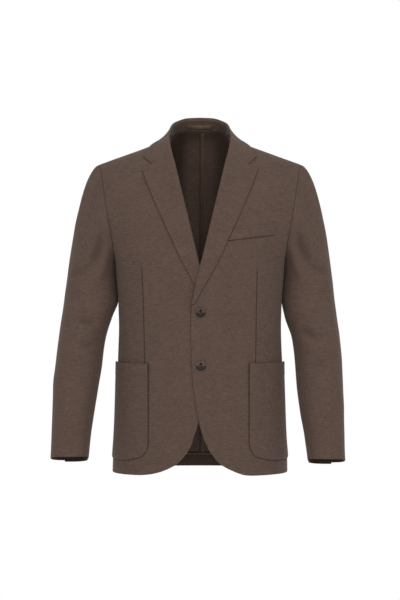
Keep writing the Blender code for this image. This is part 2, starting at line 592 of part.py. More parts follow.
def make_collar():
    steps = np.linspace(0, 1, len(FOLD))

    def fold(t):
        return np.stack([smooth(t, steps, FOLD[:, i]) for i in range(3)], -1)

    def edge(t):
        x = smooth(t, steps, LEAF_EDGE[:, 0])
        y = smooth(t, steps, LEAF_EDGE[:, 1])
        return np.stack([x, y, top_height(x, y)], -1)

    roll_steps = np.array([0, 0.25, 0.5, 0.68, 0.84, 1.0])
    tip = np.array((LAPEL_EDGE[-1, 1], LAPEL_EDGE[-1, 0]))
    gorge_length = float(np.linalg.norm(np.array(NOTCH) - np.array(ROLL_TOP)))
    scale = gorge_length / (32 + (np.linalg.norm(tip - np.array(ROLL_TOP)) - 32) * GORGE_SHARE)
    sideways, heights = roll_offset(roll_steps, np.full(6, 60.0), 0.0)
    reach_out = np.concatenate([sideways * scale, [gorge_length - 11.5 * scale, gorge_length, gorge_length + 11, gorge_length + 24.3]])
    stand_off = np.concatenate([heights, [3.0, 2.9, 2.9, 2.9]]) + 0.8 * np.array([0, 0.25, 0.5, 0.68, 0.84, 1, 1, 1, 1, 1])
    numbers = np.arange(10)

    def gorge(k):
        a, b, c = np.array(ROLL_TOP), np.array(NOTCH), np.array(COLLAR_TIP)
        far = np.interp(k, numbers, reach_out)[:, None]
        first = a + (b - a) * far / gorge_length
        second = b + (c - b) * (far - gorge_length) / 24.3
        m = np.where(far <= gorge_length, first, second)
        m[:, 1] += SEAM + 0.35
        return m

    def clear_of_trunk(p, least):
        """Moved out along the trunk's normal where it is nearer than that."""
        x = np.abs(p[:, 0])
        for _ in range(3):
            z = top_height(x, p[:, 1])
            ahead = p[:, 1] < section(z)[5]
            angle = np.where(ahead, angle_at(x, z), angle_at(x, z, True))
            n = trunk_normal(np.clip(angle, 0.004, PI - 0.004), z - 0.3)
            off = (p[:, 2] - z) * n[:, 2]
            push = np.clip(least - off, 0, 8)[:, None] * n
            p = p + push * np.stack([np.sign(p[:, 0]), np.ones(len(p)), np.ones(len(p))], 1)
            x = np.abs(p[:, 0])
        return p

    def leaf(k, v):
        t, side = np.abs(v), np.where(v < 0, -1.0, 1.0)
        top, end = fold(t), edge(t)
        away = end - top
        away[:, 2] = 0
        away /= np.linalg.norm(away, axis=1, keepdims=True)
        up = np.array([0, 0, 1.0])
        end = end + up * 3.4 + away * 2.2
        # the collar's inner edge stands on the collar stand, and past its end on the front's neck edge
        z_edge = 4.0 + (ROLL_TOP[1] - 4.0) * np.clip((t - 0.8) / 0.2, 0, 1)
        x_edge = smooth(z_edge, EDGE[1][:, 0], EDGE[1][:, 1])
        on_edge = front_face(x_edge, z_edge, -1) + front_normal(x_edge, z_edge, -1) * 0.1
        out, rise, share = [np.interp(k, numbers, FOLD_SECTION[:, i])[:, None] for i in range(3)]
        w = ease((t - 0.70) / 0.08)[:, None] * (1 - ease(k / 3.0))[:, None]
        p = top + (end - top) * share + away * out + up * rise
        p = p * (1 - w) + (on_edge + away * out + up * (rise + 3.6)) * w
        m = gorge(k)
        h = np.interp(k, numbers, stand_off)[:, None]
        q = front_face(m[:, 0], m[:, 1], -1) + front_normal(m[:, 0], m[:, 1], -1) * h
        w = ease((t - 0.82) / 0.18)[:, None]
        p = p * (1 - w) + q * w
        least = np.clip(0.55 + 3.0 * (k - 1.2) / 1.6, 0.55, 3.3)
        p = np.where((t < 0.999)[:, None], clear_of_trunk(p, least), p)
        p[:, 0] = np.abs(p[:, 0]) * side * (t > 1e-9)
        return p

    v = np.array([0, 0.1, 0.2, 0.3, 0.4, 0.5, 0.6, 0.7, 0.79, 0.87, 0.94, 1.0])
    vs = np.concatenate([-v[::-1], v[1:]])
    sheet("collar_leaf", leaf, numbers, vs, THIN, TOP_LINEN, lambda p: np.stack([p[:, 0] * 0, p[:, 1] * 0, p[:, 2] * 0 - 60], 1))

    neck_x = np.array([0, 25, 47, 59.5, 67.3, 66.4, 65.2, 64.2])
    neck_z = np.array([31.5, 31.3, 28.6, 22.4, 14.3, 9.0, 1.5, -8.0])

    def neck(t):
        x, z = smooth(t, steps, neck_x), smooth(t, steps, neck_z)
        on_back = trunk(angle_at(x, z, True), z)
        on_front = trunk(angle_at(x, z), z)
        w = ease((t - 0.50) / 0.14)[:, None]
        return on_back * (1 - w) + on_front * w

    def stand(u, v):
        t, side = np.abs(v), np.where(v < 0, -1.0, 1.0)
        low, top = neck(t), fold(t)
        inside = -low * np.array([1, 1, 0])
        inside /= np.maximum(np.linalg.norm(inside, axis=1, keepdims=True), 1e-9)
        low = low + inside * (3.6 + 1.4 * ease((t - 0.55) / 0.2))[:, None] + np.array([0, 0, 1.7])
        top = top + inside * 0.3 - np.array([0, 0, 3.9])
        p = low + (top - low) * u[:, None]
        p[:, 0] = np.abs(p[:, 0]) * side * (t > 1e-9)
        return p

    v = np.array([0, 0.1, 0.2, 0.3, 0.4, 0.5, 0.6, 0.67, 0.73])
    vs = np.concatenate([-v[::-1], v[1:]])
    sheet("collar_stand", stand, np.array([0, 0.5, 1.0]), vs, THIN, LINEN,
          lambda p: np.stack([p[:, 0] * 0, p[:, 1] * 0 - 10, p[:, 2]], 1), inward=True)

    def loop(u, v):
        x = v * LOOP_HALF
        p = stand(u, v * 0.205)
        z = LOOP_LOW + (LOOP_TOP - LOOP_LOW) * u
        inside = -p * np.array([1, 1, 0])
        inside /= np.linalg.norm(inside, axis=1, keepdims=True)
        p[:, 0] = x
        p[:, 2] = z
        p = p + inside * (1.9 + 0.6 * np.cos(v * PI / 2))[:, None]
        return p

    sheet("hanger_loop", loop, np.array([0, 1.0]), np.linspace(-1, 1, 13), TAPE, GOLD,
          lambda p: np.stack([p[:, 0] * 0, p[:, 1] * 0 - 10, p[:, 2]], 1), inward=True)


# ---------------------------------------------------------------- sleeves
def make_sleeve(side):
    ring = armhole_ring()
    start = trunk(ring[:, 0], ring[:, 1])
    count = len(ring)
    # which way the trunk runs out at the armhole
    normal = trunk_normal(ring[:, 0], ring[:, 1])
    normal[0] = normal[1] * np.array([1, 0, 1])
    normal[0] /= np.linalg.norm(normal[0])
    step = np.roll(start, -1, 0) - np.roll(start, 1, 0)
    out = np.cross(step, normal)
    out /= np.linalg.norm(out, axis=1, keepdims=True)
    middle = start.mean(0)
    toward = np.sign(np.sum(out * (middle + np.array([25, 0, 0]) - start), axis=1))
    out *= np.where(toward == 0, 1, toward)[:, None]
    out[0] = (np.cos(np.arctan(SLOPE)), 0, -np.sin(np.arctan(SLOPE)))

    bottom = len(ARM_Z) - 1
    lengths = np.linalg.norm(np.roll(start, -1, 0) - start, axis=1)
    turn = np.zeros(count)
    front_total, back_total = lengths[:bottom].sum(), lengths[bottom:].sum()
    for k in range(1, count):
        turn[k] = turn[k - 1] + lengths[k - 1] * (PI / front_total if k <= bottom else PI / back_total)

    table = SLEEVE[side]
    top_z = table[0, 0]

    def hoop(phi, z):
        outer, inner, mid, deep, slope = [smooth(z, table[:, 0], table[:, i]) for i in (1, 2, 3, 4, 5)]
        c, s = np.cos(phi), np.sin(phi)
        square = 2.15
        r = (np.abs(c) ** square + np.abs(s) ** square) ** (-1 / square)
        y = mid - deep * r * s
        return np.stack([(outer + inner) / 2 + (outer - inner) / 2 * r * c, y, z - slope * (y - mid)], -1)

    def line(column, v):
        """v from 0 at the armhole, 1 where the sleeve is free of it, 2 at the cuff."""
        a = start[column] + out[column] * SEAM
        phi = turn[column]
        z1 = np.full(len(column), top_z)
        b = hoop(phi, z1)
        down = hoop(phi, z1 - 8) - b
        down /= np.linalg.norm(down, axis=1, keepdims=True)
        crown = ((1 + np.cos(phi)) / 2)
        w = crown ** 3
        cross = np.array([1.0, 0, -0.25])
        leave = out[column] * (8 + 14 * np.sin(phi) ** 2 + 122 * w)[:, None] + cross * ((9 + 30 * np.sin(phi) ** 2) * (1 - w))[:, None]
        arrive = down * (30 + 130 * crown)[:, None]
        t = np.clip(v, 0, 1)[:, None]
        cap = ((1 + 2 * t) * (1 - t) ** 2 * a + t * (1 - t) ** 2 * leave + t * t * (3 - 2 * t) * b + t * t * (t - 1) * arrive)
        z = top_z + (table[-1, 0] - top_z) * np.clip(v - 1, 0, 1)
        return np.where(v[:, None] <= 1, cap, hoop(phi, z))

    free = (table[1:, 0] - top_z) / (table[-1, 0] - top_z) + 1
    vs = np.concatenate([[0, 0.035, 0.17, 0.4, 0.7, 1.0], free])

    def centre(p):
        z = np.clip(p[:, 2], table[-1, 0], top_z)
        x = (smooth(z, table[:, 0], table[:, 1]) + smooth(z, table[:, 0], table[:, 2])) / 2
        x = x - 0.22 * np.clip(p[:, 2] - top_z, 0, None)
        return np.stack([side * x, smooth(z, table[:, 0], table[:, 3]), p[:, 2] - 40 * (p[:, 2] > -120)], 1)

    def piece(name, first, last, drop):
        """Columns from half a point past first to half a point past last, so each seam lies in a level face."""
        trim = 0.95 * SEAM / 26.0
        at_column = np.concatenate([[first + 0.5 + trim], np.arange(first + 1, last + 1), [last + 0.5 - trim]])

        def point(u, v):
            low = np.floor(u).astype(int)
            w = (u - low)[:, None]
            p = line(low % count, v) * (1 - w) + line((low + 1) % count, v) * w
            if drop:
                fall = ease((v - 1.9) / 0.1) * ease((u - last + 4.5) / 1.5)
                p[:, 2] -= VENT_STEP * fall
            return mirrored(p, side)

        sheet(name, point, at_column, vs, THIN, LINEN, centre)

    hind = count - HINDARM - 1
    tag = "left" if side > 0 else "right"
    piece("top_sleeve_" + tag, hind, count + FOREARM, False)
    piece("under_sleeve_" + tag, FOREARM, hind, True)


# ---------------------------------------------------------------- pockets, welt, tapes, buttons
def make_pocket(side):
    inner, r = POCKET_INNER[side], POCKET_CORNER
    back = np.radians(POCKET_BACK)
    turn = r * (1 - np.sqrt(0.5))

    def width_angle(x, z):
        return angle_at(x, z)

    def left(v):
        z = POCKET_BOTTOM + turn + (POCKET_TOP - POCKET_BOTTOM - turn) * v
        rise = np.clip((POCKET_BOTTOM + r - z) / r, 0, 1)
        x = inner + r * (1 - np.sqrt(1 - rise ** 2))
        return np.stack([width_angle(x, z), z], -1)

    def right(v):
        z = POCKET_BOTTOM + turn + (POCKET_TOP - POCKET_BOTTOM - turn) * v
        rise = np.clip((POCKET_BOTTOM + r - z) / r, 0, 1)
        return np.stack([back - 0.25 * (1 - np.sqrt(1 - rise ** 2)), z], -1)

    def bottom(u):
        start, end = left(np.zeros_like(u)), right(np.zeros_like(u))
        z = POCKET_BOTTOM + turn * np.abs(2 * u - 1) ** 3.2
        return np.stack([start[:, 0] + (end[:, 0] - start[:, 0]) * u, z], -1)

    flat = ruled(left, right, bottom, None)

    def point(u, v):
        m = flat(u, v)
        h = POCKET_FLAT + (POCKET_MOUTH - POCKET_FLAT) * v ** 2
        return mirrored(trunk(m[:, 0], m[:, 1]) + trunk_normal(m[:, 0], m[:, 1]) * h[:, None], side)

    us = np.linspace(0, 1, 10)
    vs = np.array([0, 0.07, 0.16, 0.3, 0.5, 0.75, 1.0])
    sheet("patch_pocket_left" if side > 0 else "patch_pocket_right", point, us, vs, THIN, LINEN, trunk_axis)


def make_welt():
    a, b, c, d = [np.array(WELT[k]) for k in ("low_inner", "low_outer", "top_outer", "top_inner")]

    def point(u, v):
        s, t = u[:, None], v[:, None]
        m = (a + (b - a) * s) * (1 - t) + (d + (c - d) * s) * t
        return front_face(m[:, 0], m[:, 1], 1) + front_normal(m[:, 0], m[:, 1], 1) * 2.5

    sheet("breast_welt", point, np.linspace(0, 1, 6), np.array([0, 0.5, 1]), THIN, LINEN, trunk_axis)


def make_tapes():
    inner_axis = lambda p: np.stack([p[:, 0] * 0, p[:, 1] * 0 - 10, p[:, 2]], 1)

    def inside(angle, z, depth):
        """Point inside the wall; the angle runs on past centre back to the right side."""
        back = np.where(angle > PI, 2 * PI - angle, angle)
        flip = np.where(angle > PI, -1.0, 1.0)[:, None] * np.array([1, 0, 0]) + np.array([0, 1, 1])
        return (trunk(back, z) - trunk_normal(np.minimum(back, PI - 1e-3), z) * depth) * flip

    heights = [SEAM_TAPE[0, 0]] + [row[1] for row in BACK_ROWS[-3:1:-1]] + [SEAM_TAPE[-1, 0]]

    def seam_tape(u, v):
        z = v
        x0, x1 = smooth(z, SEAM_TAPE[:, 0], SEAM_TAPE[:, 1]), smooth(z, SEAM_TAPE[:, 0], SEAM_TAPE[:, 2])
        x = x0 + (x1 - x0) * u
        angle = angle_at(x, z, True)
        return trunk(angle, z) - trunk_normal(angle, z) * (WALL + 0.7 + TAPE)

    sheet("back_seam_binding", seam_tape, np.array([0, 1.0]), np.array(heights), TAPE, GOLD, inner_axis, True)

    half = np.radians(TURNUP_HALF)
    angles = PI + half * np.linspace(-1, 1, 15)

    def turnup(u, v):
        z = HEM_Z + TURNUP * u
        return inside(v, z, WALL + 1.3 + 1.2)

    sheet("hem_turnup", turnup, np.array([0, 1.0]), angles, 1.2, LINEN, inner_axis, True)

    def hem_tape(u, v):
        z = HEM_Z + TURNUP + SEAM + HEM_TAPE * u
        return inside(v, z, WALL + 1.3 + 1.2)

    sheet("hem_binding", hem_tape, np.array([0, 1.0]), angles, TAPE, GOLD, inner_axis, True)


def make_button(name, x, z):
    """Turned button with a rim and a dished middle, facing forwards."""
    profile = [(0.0, 2.6), (3.6, 2.5), (4.6, 3.2), (6.2, 3.9), (8.2, 4.0), (9.6, 3.5), (10.3, 2.4), (9.9, 1.2), (7.5, 0.35), (0.0, 0.0)]
    mesh = bpy.data.meshes.new(name)
    line = bmesh.new()
    verts = [line.verts.new((r * BUTTON_R / 10.3 * MM, 0, h * BUTTON_H / 4.0 * MM)) for r, h in profile]
    for a, b in zip(verts, verts[1:]):
        line.edges.new((a, b))
    line.to_mesh(mesh)
    line.free()
    mesh.materials.append(HORN)
    button = bpy.data.objects.new(name, mesh)
    collection.objects.link(button)
    screw = button.modifiers.new("turn", "SCREW")
    screw.axis = "Z"
    screw.steps = screw.render_steps = 24
    screw.use_merge_vertices = True
    screw.merge_threshold = 0.00005
    screw.use_smooth_shade = True
    face = front_face(np.array([x]), np.array([z]), 1)[0]
    normal = front_normal(np.array([x]), np.array([z]), 1)[0]
    tilt = np.arctan2(normal[2], -normal[1])
    button.rotation_euler = (PI / 2 - tilt, 0, 0)
    button.location = (face + normal * 0.9) * MM
    return button


for hand in (1, -1):
    make_front(hand)
    make_side(hand)
    make_back(hand)
    make_lapel(hand)
    make_sleeve(hand)
    make_pocket(hand)
make_collar()
make_welt()
make_tapes()
for button_name, (button_x, button_z) in BUTTONS.items():
    make_button(button_name, button_x, button_z)
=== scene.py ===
"""Looks of the brown linen blazer: every piece of cloth as a fine shell on its solid's
form, with seams, turned edges, soft creases and the linen's own weave.

+X is the wearer's left, -Y the front, +Z up. Sizes in the tables are millimetres.
"""

import bpy
import numpy as np
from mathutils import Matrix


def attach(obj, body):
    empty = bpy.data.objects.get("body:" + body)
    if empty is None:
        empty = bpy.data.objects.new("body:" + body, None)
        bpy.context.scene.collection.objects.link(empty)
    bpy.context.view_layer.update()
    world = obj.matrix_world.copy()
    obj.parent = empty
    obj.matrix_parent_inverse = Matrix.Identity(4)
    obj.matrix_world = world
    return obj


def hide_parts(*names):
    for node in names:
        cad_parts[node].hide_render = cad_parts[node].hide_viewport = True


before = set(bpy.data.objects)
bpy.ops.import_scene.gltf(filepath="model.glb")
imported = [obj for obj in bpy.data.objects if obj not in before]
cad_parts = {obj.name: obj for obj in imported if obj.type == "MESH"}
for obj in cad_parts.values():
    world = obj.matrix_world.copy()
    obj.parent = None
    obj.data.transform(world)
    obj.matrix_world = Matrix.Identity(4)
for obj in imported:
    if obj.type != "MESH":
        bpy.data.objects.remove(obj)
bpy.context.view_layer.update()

MM = 0.001
PI = np.pi

# ---------------------------------------------------------------- the form, as in the construction
HEM_Z = -714.0
ARMPIT_Z = -262.0
JOINT_Z = -238.0
TRUNK = np.array([  # z, half_width, front, back, square, middle
    (-716, 190.0, 134, 130, 2.35, -6),
    (-690, 189.5, 134, 130, 2.35, -6),
    (-640, 186.0, 133, 129, 2.35, -6),
    (-560, 182.3, 130, 123, 2.35, -6),
    (-480, 179.0, 127, 114, 2.32, -6),
    (-410, 176.3, 125, 108, 2.30, -6),
    (-350, 177.3, 124, 110, 2.30, -6),
    (-300, 181.0, 123, 114, 2.32, -6),
    (-262, 184.0, 121, 117, 2.35, -6),
    (-200, 0, 119, 119, 2.35, -3),
    (-130, 0, 116, 116, 2.35, 3),
    (-60, 0, 108, 108, 2.35, 6),
    (0, 0, 97, 92, 2.35, 6),
    (17, 0, 92, 82, 2.35, 6),
    (32, 0, 86, 64, 2.35, 6),
    (60, 0, 72, 44, 2.35, 6),
], float)
LOW_ROWS = 9
ARMHOLE = np.array([  # z, x
    (-262, 184.0), (-233, 186.5), (-196, 192.0), (-167, 197.5),
    (-136, 203.0), (-97, 208.8), (-65, 215.0), (-47, 220.0),
], float)
ARMHOLE_FRONT, ARMHOLE_BACK = 0.54, 0.50
ARM_Z = (-47.0, -48.4, -55, -66, -84, -112, -146, -180, -212, -238, -250, -258, -262)
SLOPE, SLOPE_X, SLOPE_Z = 0.3586, 75.0, 5.0
NECK_X, SHOULDER_X = 68.0, 220.0
ROUND_FRONT, ROUND_BACK = 170.0, 165.0
BACK_NECK = np.array([(0, 31.5), (25, 31.3), (40, 30), (52, 26.5), (61, 21), (68, 14.1)], float)
ROLL_TOP = (63.4, -16.5)
ROLL = [(-321, -10.5), (-280.7, -1.6), (-250, 6.3), (-176, 24.2), (-91, 45.0), (-45, 56.6), (-16.5, 63.4),
        (0, 64.8), (9, 66.4), (12.5, 67.5), (14.1, 68.0)]
EDGE = {
    1: np.array([(-679, 33.9), (-657.5, 18.5), (-629.7, 6.1), (-595.8, -3.2), (-552.7, -10.7),
                 (-512.9, -15.4), (-466.6, -18.5), (-414, -19.8), (-362, -18.4)] + ROLL, float),
    -1: np.array([(-679, 39.0), (-657.5, 22.8), (-629.7, 12.2), (-600.6, 3.2), (-552.7, -6.0),
                  (-512.9, -12.0), (-466.6, -16.5), (-414, -19.0), (-362, -18.4)] + ROLL, float),
}
CUTAWAY = {
    1: np.array([(33.9, -679), (43, -688.3), (61.7, -699.4), (89.6, -711.0), (108.3, -713.7), (159, -714)], float),
    -1: np.array([(39.0, -679), (49.5, -688.6), (77.4, -702.9), (102, -710.0), (124, -713.0), (159, -714)], float),
}
FRONT_ROWS = (
    (-679, -714), (-657, -697), (-626, -668), (-584, -615), (-520, -548),
    (-455, -478), (-402, -418), (-362, -370), (-322, -325), (-281, -283), (-238, -238),
    (-206, -212), (-166, -180), (-126, -146), (-88, -112), (-56, -84), (-34, -66),
    (-16.5, -55), (6, -48.4), (14.0, -47.06), (14.1, -47),
)
SEAM_Z = tuple(row[1] for row in FRONT_ROWS[:11])
BACK_ROWS = tuple((z, z) for z in SEAM_Z) + (
    (-212, -206), (-180, -170), (-146, -130), (-112, -92), (-84, -58), (-66, -28),
    (-55, 0), (-48.4, 20), (-47.06, 30.5), (-47, 31.5),
)
SIDE = np.array([(-716, 53, 114), (-680, 54.5, 114), (-560, 65, 114), (-470, 73, 113), (-330, 75, 112)], float)
LAPEL_EDGE = np.array([(-356, -13.0), (-332, -1.0), (-303.5, 15.4), (-263, 37.2), (-216.5, 59.0), (-169.6, 80.7),
                       (-122.2, 101.5), (-79, 118.8), (-63.9, 124.2)], float)
LAPEL_ROWS = np.array([(-352, -350), (-336, -330), (-312, -303), (-281, -263), (-250, -228), (-212, -193),
                       (-172, -158), (-130, -125), (-90, -98), (-52, -78), (-30, -68.5), (-16.5, -63.9)], float)
NOTCH = (102.6, -51.8)
COLLAR_TIP = (120.3, -35.0)
LAPEL_FLAT = 2.9
GORGE_SHARE = 0.42
FOLD = np.array([(0, 70, 62.3), (27, 64.5, 60.6), (47.5, 48.5, 53.2), (58.6, 28, 44.6), (63.6, 6, 30.8),
                 (66, -14, 14), (65, -33, -1), (63.4, -51, -16.5)], float)
LEAF_EDGE = np.array([(0, 92), (31, 91), (58, 73.5), (79, 49), (93, 20), (102.5, -5), (111.5, -25), (120.3, -43)], float)
LIFT = np.array([(-716, 0.4), (-665, 1.2), (-612, 2.8), (-400, 2.8), (-376, 3.6), (-350, 6.2), (-275, 6.2),
                 (-235, 3.0), (-190, 0.6), (-150, 0)], float)
SLEEVE = {  # z, outer, inner, middle, half_depth, slope
    -1: np.array([(-300, 291.0, 180.6, 12, 68, 0.00), (-342, 296.0, 178.2, 6, 66, 0.00),
                  (-377, 300.4, 190.2, -6, 64, 0.02), (-429, 306.6, 205.4, -21, 61, 0.07),
                  (-481, 312.2, 211.7, -32, 58, 0.13), (-532, 317.0, 219.5, -41, 55, 0.17),
                  (-583, 317.5, 227.4, -50, 51.5, 0.19), (-634, 318.8, 233.8, -58, 48, 0.21),
                  (-687.5, 320.3, 239.0, -66, 45, 0.217)], float),
    1: np.array([(-300, 289.5, 180.6, 12, 68, 0.00), (-342, 293.8, 177.8, 6, 66, 0.00),
                 (-377, 297.6, 183.8, -6, 64, 0.02), (-429, 303.4, 200.0, -22, 61, 0.08),
                 (-481, 307.1, 205.4, -34, 58, 0.14), (-532, 308.3, 209.1, -44, 55, 0.18),
                 (-583, 309.8, 215.2, -53, 51.5, 0.20), (-634, 309.8, 223.3, -61, 48, 0.215),
                 (-692, 311.3, 230.5, -69, 45, 0.217)], float),
}
HINDARM, FOREARM = 5, 8
VENT_STEP = 3.0
POCKET_INNER = {1: 102.8, -1: 108.5}
POCKET_TOP, POCKET_BOTTOM, POCKET_CORNER, POCKET_BACK = -476.0, -685.0, 42.0, 97.0
WELT = {"low_inner": (60.6, -217.3), "low_outer": (161.0, -204.5), "top_outer": (163.6, -178.2), "top_inner": (73.2, -189.6)}
BUTTONS = {"button_upper": (1.5, -367.6), "button_lower": (2.1, -480.2)}
TURNUP, TURNUP_HALF, HEM_TAPE = 25.0, 48.0, 4.0
SEAM_TAPE = np.array([(28.5, 1.6, 9.4), (0, 1.8, 9.6), (-45, 3.2, 8.0), (-300, 3.6, 8.2), (-684, 4.2, 9.6)], float)
LOOP_HALF, LOOP_LOW, LOOP_TOP = 27.0, 36.0, 43.8

# Darts of the fronts, in each front's own x (x, z): from the tip down to the pocket mouth.
DART = {
    1: np.array([(122.4, -264.3), (120.7, -321.0), (118.2, -478.0)], float),
    -1: np.array([(124.8, -259.6), (121.6, -321.0), (117.5, -478.0)], float),
}

# ---------------------------------------------------------------- soft creases
# Seen from the front or the back, in the row's own x: two ends, half width and height (a trough is below nought).
CREASE_COLUMNS = ("x1", "z1", "x2", "z2", "width", "height")
FRONT_CREASES = np.array([
    # drag towards the upper button, uneven
    (14, -352, 78, -322, 9, -1.0), (22, -372, 104, -352, 11, 0.9), (-20, -360, -88, -338, 10, -0.8),
    (-28, -392, -110, -384, 12, 0.7), (20, -402, 92, -398, 12, -0.7),
    # hollow beside the armhole and over the chest
    (-176, -150, -162, -236, 13, -1.8), (177, -146, 164, -232, 13, -1.6), (-128, -120, -96, -214, 34, 1.0),
    (132, -118, 100, -200, 34, 0.9),
    # waist at the side
    (-168, -330, -140, -372, 13, -1.4), (-172, -392, -146, -418, 12, 1.0), (168, -326, 142, -368, 13, -1.4),
    (171, -396, 148, -420, 12, 1.0),
    # skirt
    (-66, -520, -52, -690, 22, 0.9), (70, -500, 62, -690, 24, 0.8), (-18, -560, 6, -668, 12, -0.7),
    (24, -540, 40, -676, 13, 0.8),
], float)
BACK_CREASES = np.array([
    (-120, -60, -150, -190, 16, -1.8), (122, -62, 152, -196, 16, -1.7), (-60, -28, 58, -30, 14, -0.9),
    (-150, -300, -96, -346, 13, -1.6), (150, -302, 92, -350, 13, -1.5), (-144, -356, -84, -378, 14, 1.2),
    (142, -360, 88, -384, 14, 1.2), (-96, -410, -20, -402, 14, -1.0), (92, -414, 16, -404, 15, -1.0),
    (-30, -350, -12, -300, 12, 0.6), (-128, -470, -118, -690, 20, 1.2), (126, -480, 118, -690, 22, 1.1),
    (-64, -500, -70, -700, 18, -0.9), (60, -496, 68, -700, 18, -0.9), (-110, -232, -40, -262, 18, 0.8),
    (108, -236, 42, -266, 18, 0.8),
], float)
# On the sleeves, also in the row's own x: seen from the front, then from the back.
SLEEVE_FRONT = {
    1: np.array([
        (214, -196, 236, -260, 15, -3.4), (196, -226, 222, -300, 11, 2.4), (236, -262, 276, -286, 12, -2.0),
        (256, -150, 276, -210, 22, 1.2), (240, -318, 284, -300, 14, 1.6), (216, -402, 262, -424, 13, -2.4),
        (222, -372, 270, -386, 12, 1.6), (226, -444, 280, -434, 14, 1.8), (232, -486, 276, -468, 12, -1.3),
        (238, -520, 290, -506, 16, 1.0), (246, -584, 300, -600, 16, -0.8), (250, -646, 296, -636, 15, 0.8),
    ], float),
    -1: np.array([
        (216, -200, 234, -266, 15, -3.2), (198, -230, 224, -304, 11, 2.3), (238, -268, 280, -290, 13, -2.0),
        (258, -150, 280, -214, 22, 1.2), (234, -322, 286, -304, 14, 1.5), (222, -392, 268, -378, 12, -2.2),
        (214, -428, 262, -438, 13, -2.0), (228, -408, 284, -414, 12, 1.6), (236, -470, 288, -452, 14, 1.4),
        (240, -516, 292, -500, 14, -1.0), (250, -590, 306, -606, 16, 0.9), (256, -640, 302, -650, 15, -0.8),
    ], float),
}
SLEEVE_BACK = np.array([
    (206, -170, 226, -262, 14, -3.0), (196, -216, 214, -300, 10, 2.2), (236, -250, 282, -300, 14, -2.0),
    (226, -342, 286, -372, 13, -2.8), (222, -376, 280, -396, 12, 2.2), (230, -410, 288, -426, 12, -2.4),
    (236, -452, 294, -446, 13, 1.6), (242, -500, 296, -514, 14, -1.4), (248, -566, 302, -556, 16, 1.0),
    (254, -630, 304, -644, 15, -0.8),
], float)


# ---------------------------------------------------------------- curves
def smooth(x, xs, ys):
    xs, ys = np.asarray(xs, float), np.asarray(ys, float)
    if xs[0] > xs[-1]:
        xs, ys = xs[::-1], ys[::-1]
    step = np.diff(xs)
    rise = np.diff(ys) / step
    slope = np.empty_like(ys)
    slope[0], slope[-1] = rise[0], rise[-1]
    before, after = rise[:-1], rise[1:]
    wa, wb = 2 * step[1:] + step[:-1], step[1:] + 2 * step[:-1]
    same = before * after > 0
    slope[1:-1] = np.where(same, (wa + wb) / (wa / np.where(same, before, 1) + wb / np.where(same, after, 1)), 0)
    x = np.clip(np.asarray(x, float), xs[0], xs[-1])
    k = np.clip(np.searchsorted(xs, x, side="right") - 1, 0, len(step) - 1)
    t = (x - xs[k]) / step[k]
    return ((1 + 2 * t) * (1 - t) ** 2 * ys[k] + t * (1 - t) ** 2 * step[k] * slope[k]
            + t * t * (3 - 2 * t) * ys[k + 1] + t * t * (t - 1) * step[k] * slope[k + 1])


def along(points, t):
    points = np.asarray(points, float)
    length = np.concatenate([[0], np.cumsum(np.linalg.norm(np.diff(points, axis=0), axis=1))])
    t = np.clip(np.asarray(t, float), 0, 1) * length[-1]
    tangent = np.empty_like(points)
    tangent[1:-1] = (points[2:] - points[:-2]) / (length[2:] - length[:-2])[:, None]
    tangent[0] = (points[1] - points[0]) / (length[1] - length[0])
    tangent[-1] = (points[-1] - points[-2]) / (length[-1] - length[-2])
    k = np.clip(np.searchsorted(length, t, side="right") - 1, 0, len(points) - 2)
    h = (length[k + 1] - length[k])[..., None]
    s = ((t - length[k]) / (length[k + 1] - length[k]))[..., None]
    return ((1 + 2 * s) * (1 - s) ** 2 * points[k] + s * (1 - s) ** 2 * h * tangent[k]
            + s * s * (3 - 2 * s) * points[k + 1] + s * s * (s - 1) * h * tangent[k + 1])


def ease(t):
    t = np.clip(t, 0, 1)
    return t * t * (3 - 2 * t)


# ---------------------------------------------------------------- trunk
def ridge(x):
    x = np.abs(x)
    return (SLOPE_Z + SLOPE * (SLOPE_X - x) + 0.009 * np.clip(95 - x, 0, None) ** 2
            + 0.06 * np.clip(NECK_X - x, 0, None) ** 2)


def reach(z, most):
    h = np.clip((z - ARMPIT_Z) / 110.0, 0, 1)
    return most * np.sqrt(np.clip(1 - (1 - h) ** 2, 0, None))


def section(z):
    z = np.asarray(z, float)
    low = TRUNK[:LOW_ROWS]
    front, back, square, middle = [smooth(z, TRUNK[:, 0], TRUNK[:, i]) for i in (2, 3, 4, 5)]
    width = smooth(z, low[:, 0], low[:, 1])
    arm = smooth(z, ARMHOLE[:, 0], ARMHOLE[:, 1])
    up = z > ARMPIT_Z
    wide_front = np.where(up, arm / (1 - reach(z, ARMHOLE_FRONT) ** square) ** (1 / square), width)
    wide_back = np.where(up, arm / (1 - reach(z, ARMHOLE_BACK) ** square) ** (1 / square), width)
    return wide_front, wide_back, front, back, square, middle, arm


def rounding(below, height, power):
    return np.clip(1 - (1 - np.clip(below / height, 0, 1)) ** 2, 0, None) ** (1 / power)


def back_power(x):
    return 2.4 + 2.2 * ease((150 - np.abs(x)) / 80.0)


def trunk(angle, z):
    angle, z = np.broadcast_arrays(np.asarray(angle, float), np.asarray(z, float))
    wide_front, wide_back, front, back, square, middle, _ = section(z)
    s, c = np.sin(angle), np.cos(angle)
    r = (np.abs(s) ** square + np.abs(c) ** square) ** (-1 / square)
    ahead = c > 0
    x = np.where(ahead, wide_front, wide_back) * r * s
    below = ridge(x) - z
    depth = np.where(ahead, front * rounding(below, ROUND_FRONT, 2.0), back * rounding(below, ROUND_BACK, back_power(x)))
    return np.stack([x, middle - depth * r * c, z], -1)


def trunk_normal(angle, z):
    e = 0.002
    da = trunk(angle + e, z) - trunk(angle - e, z)
    dz = trunk(angle, z + 0.4) - trunk(angle, z - 0.4)
    n = np.cross(da, dz)
    return n / np.maximum(np.linalg.norm(n, axis=-1, keepdims=True), 1e-9)


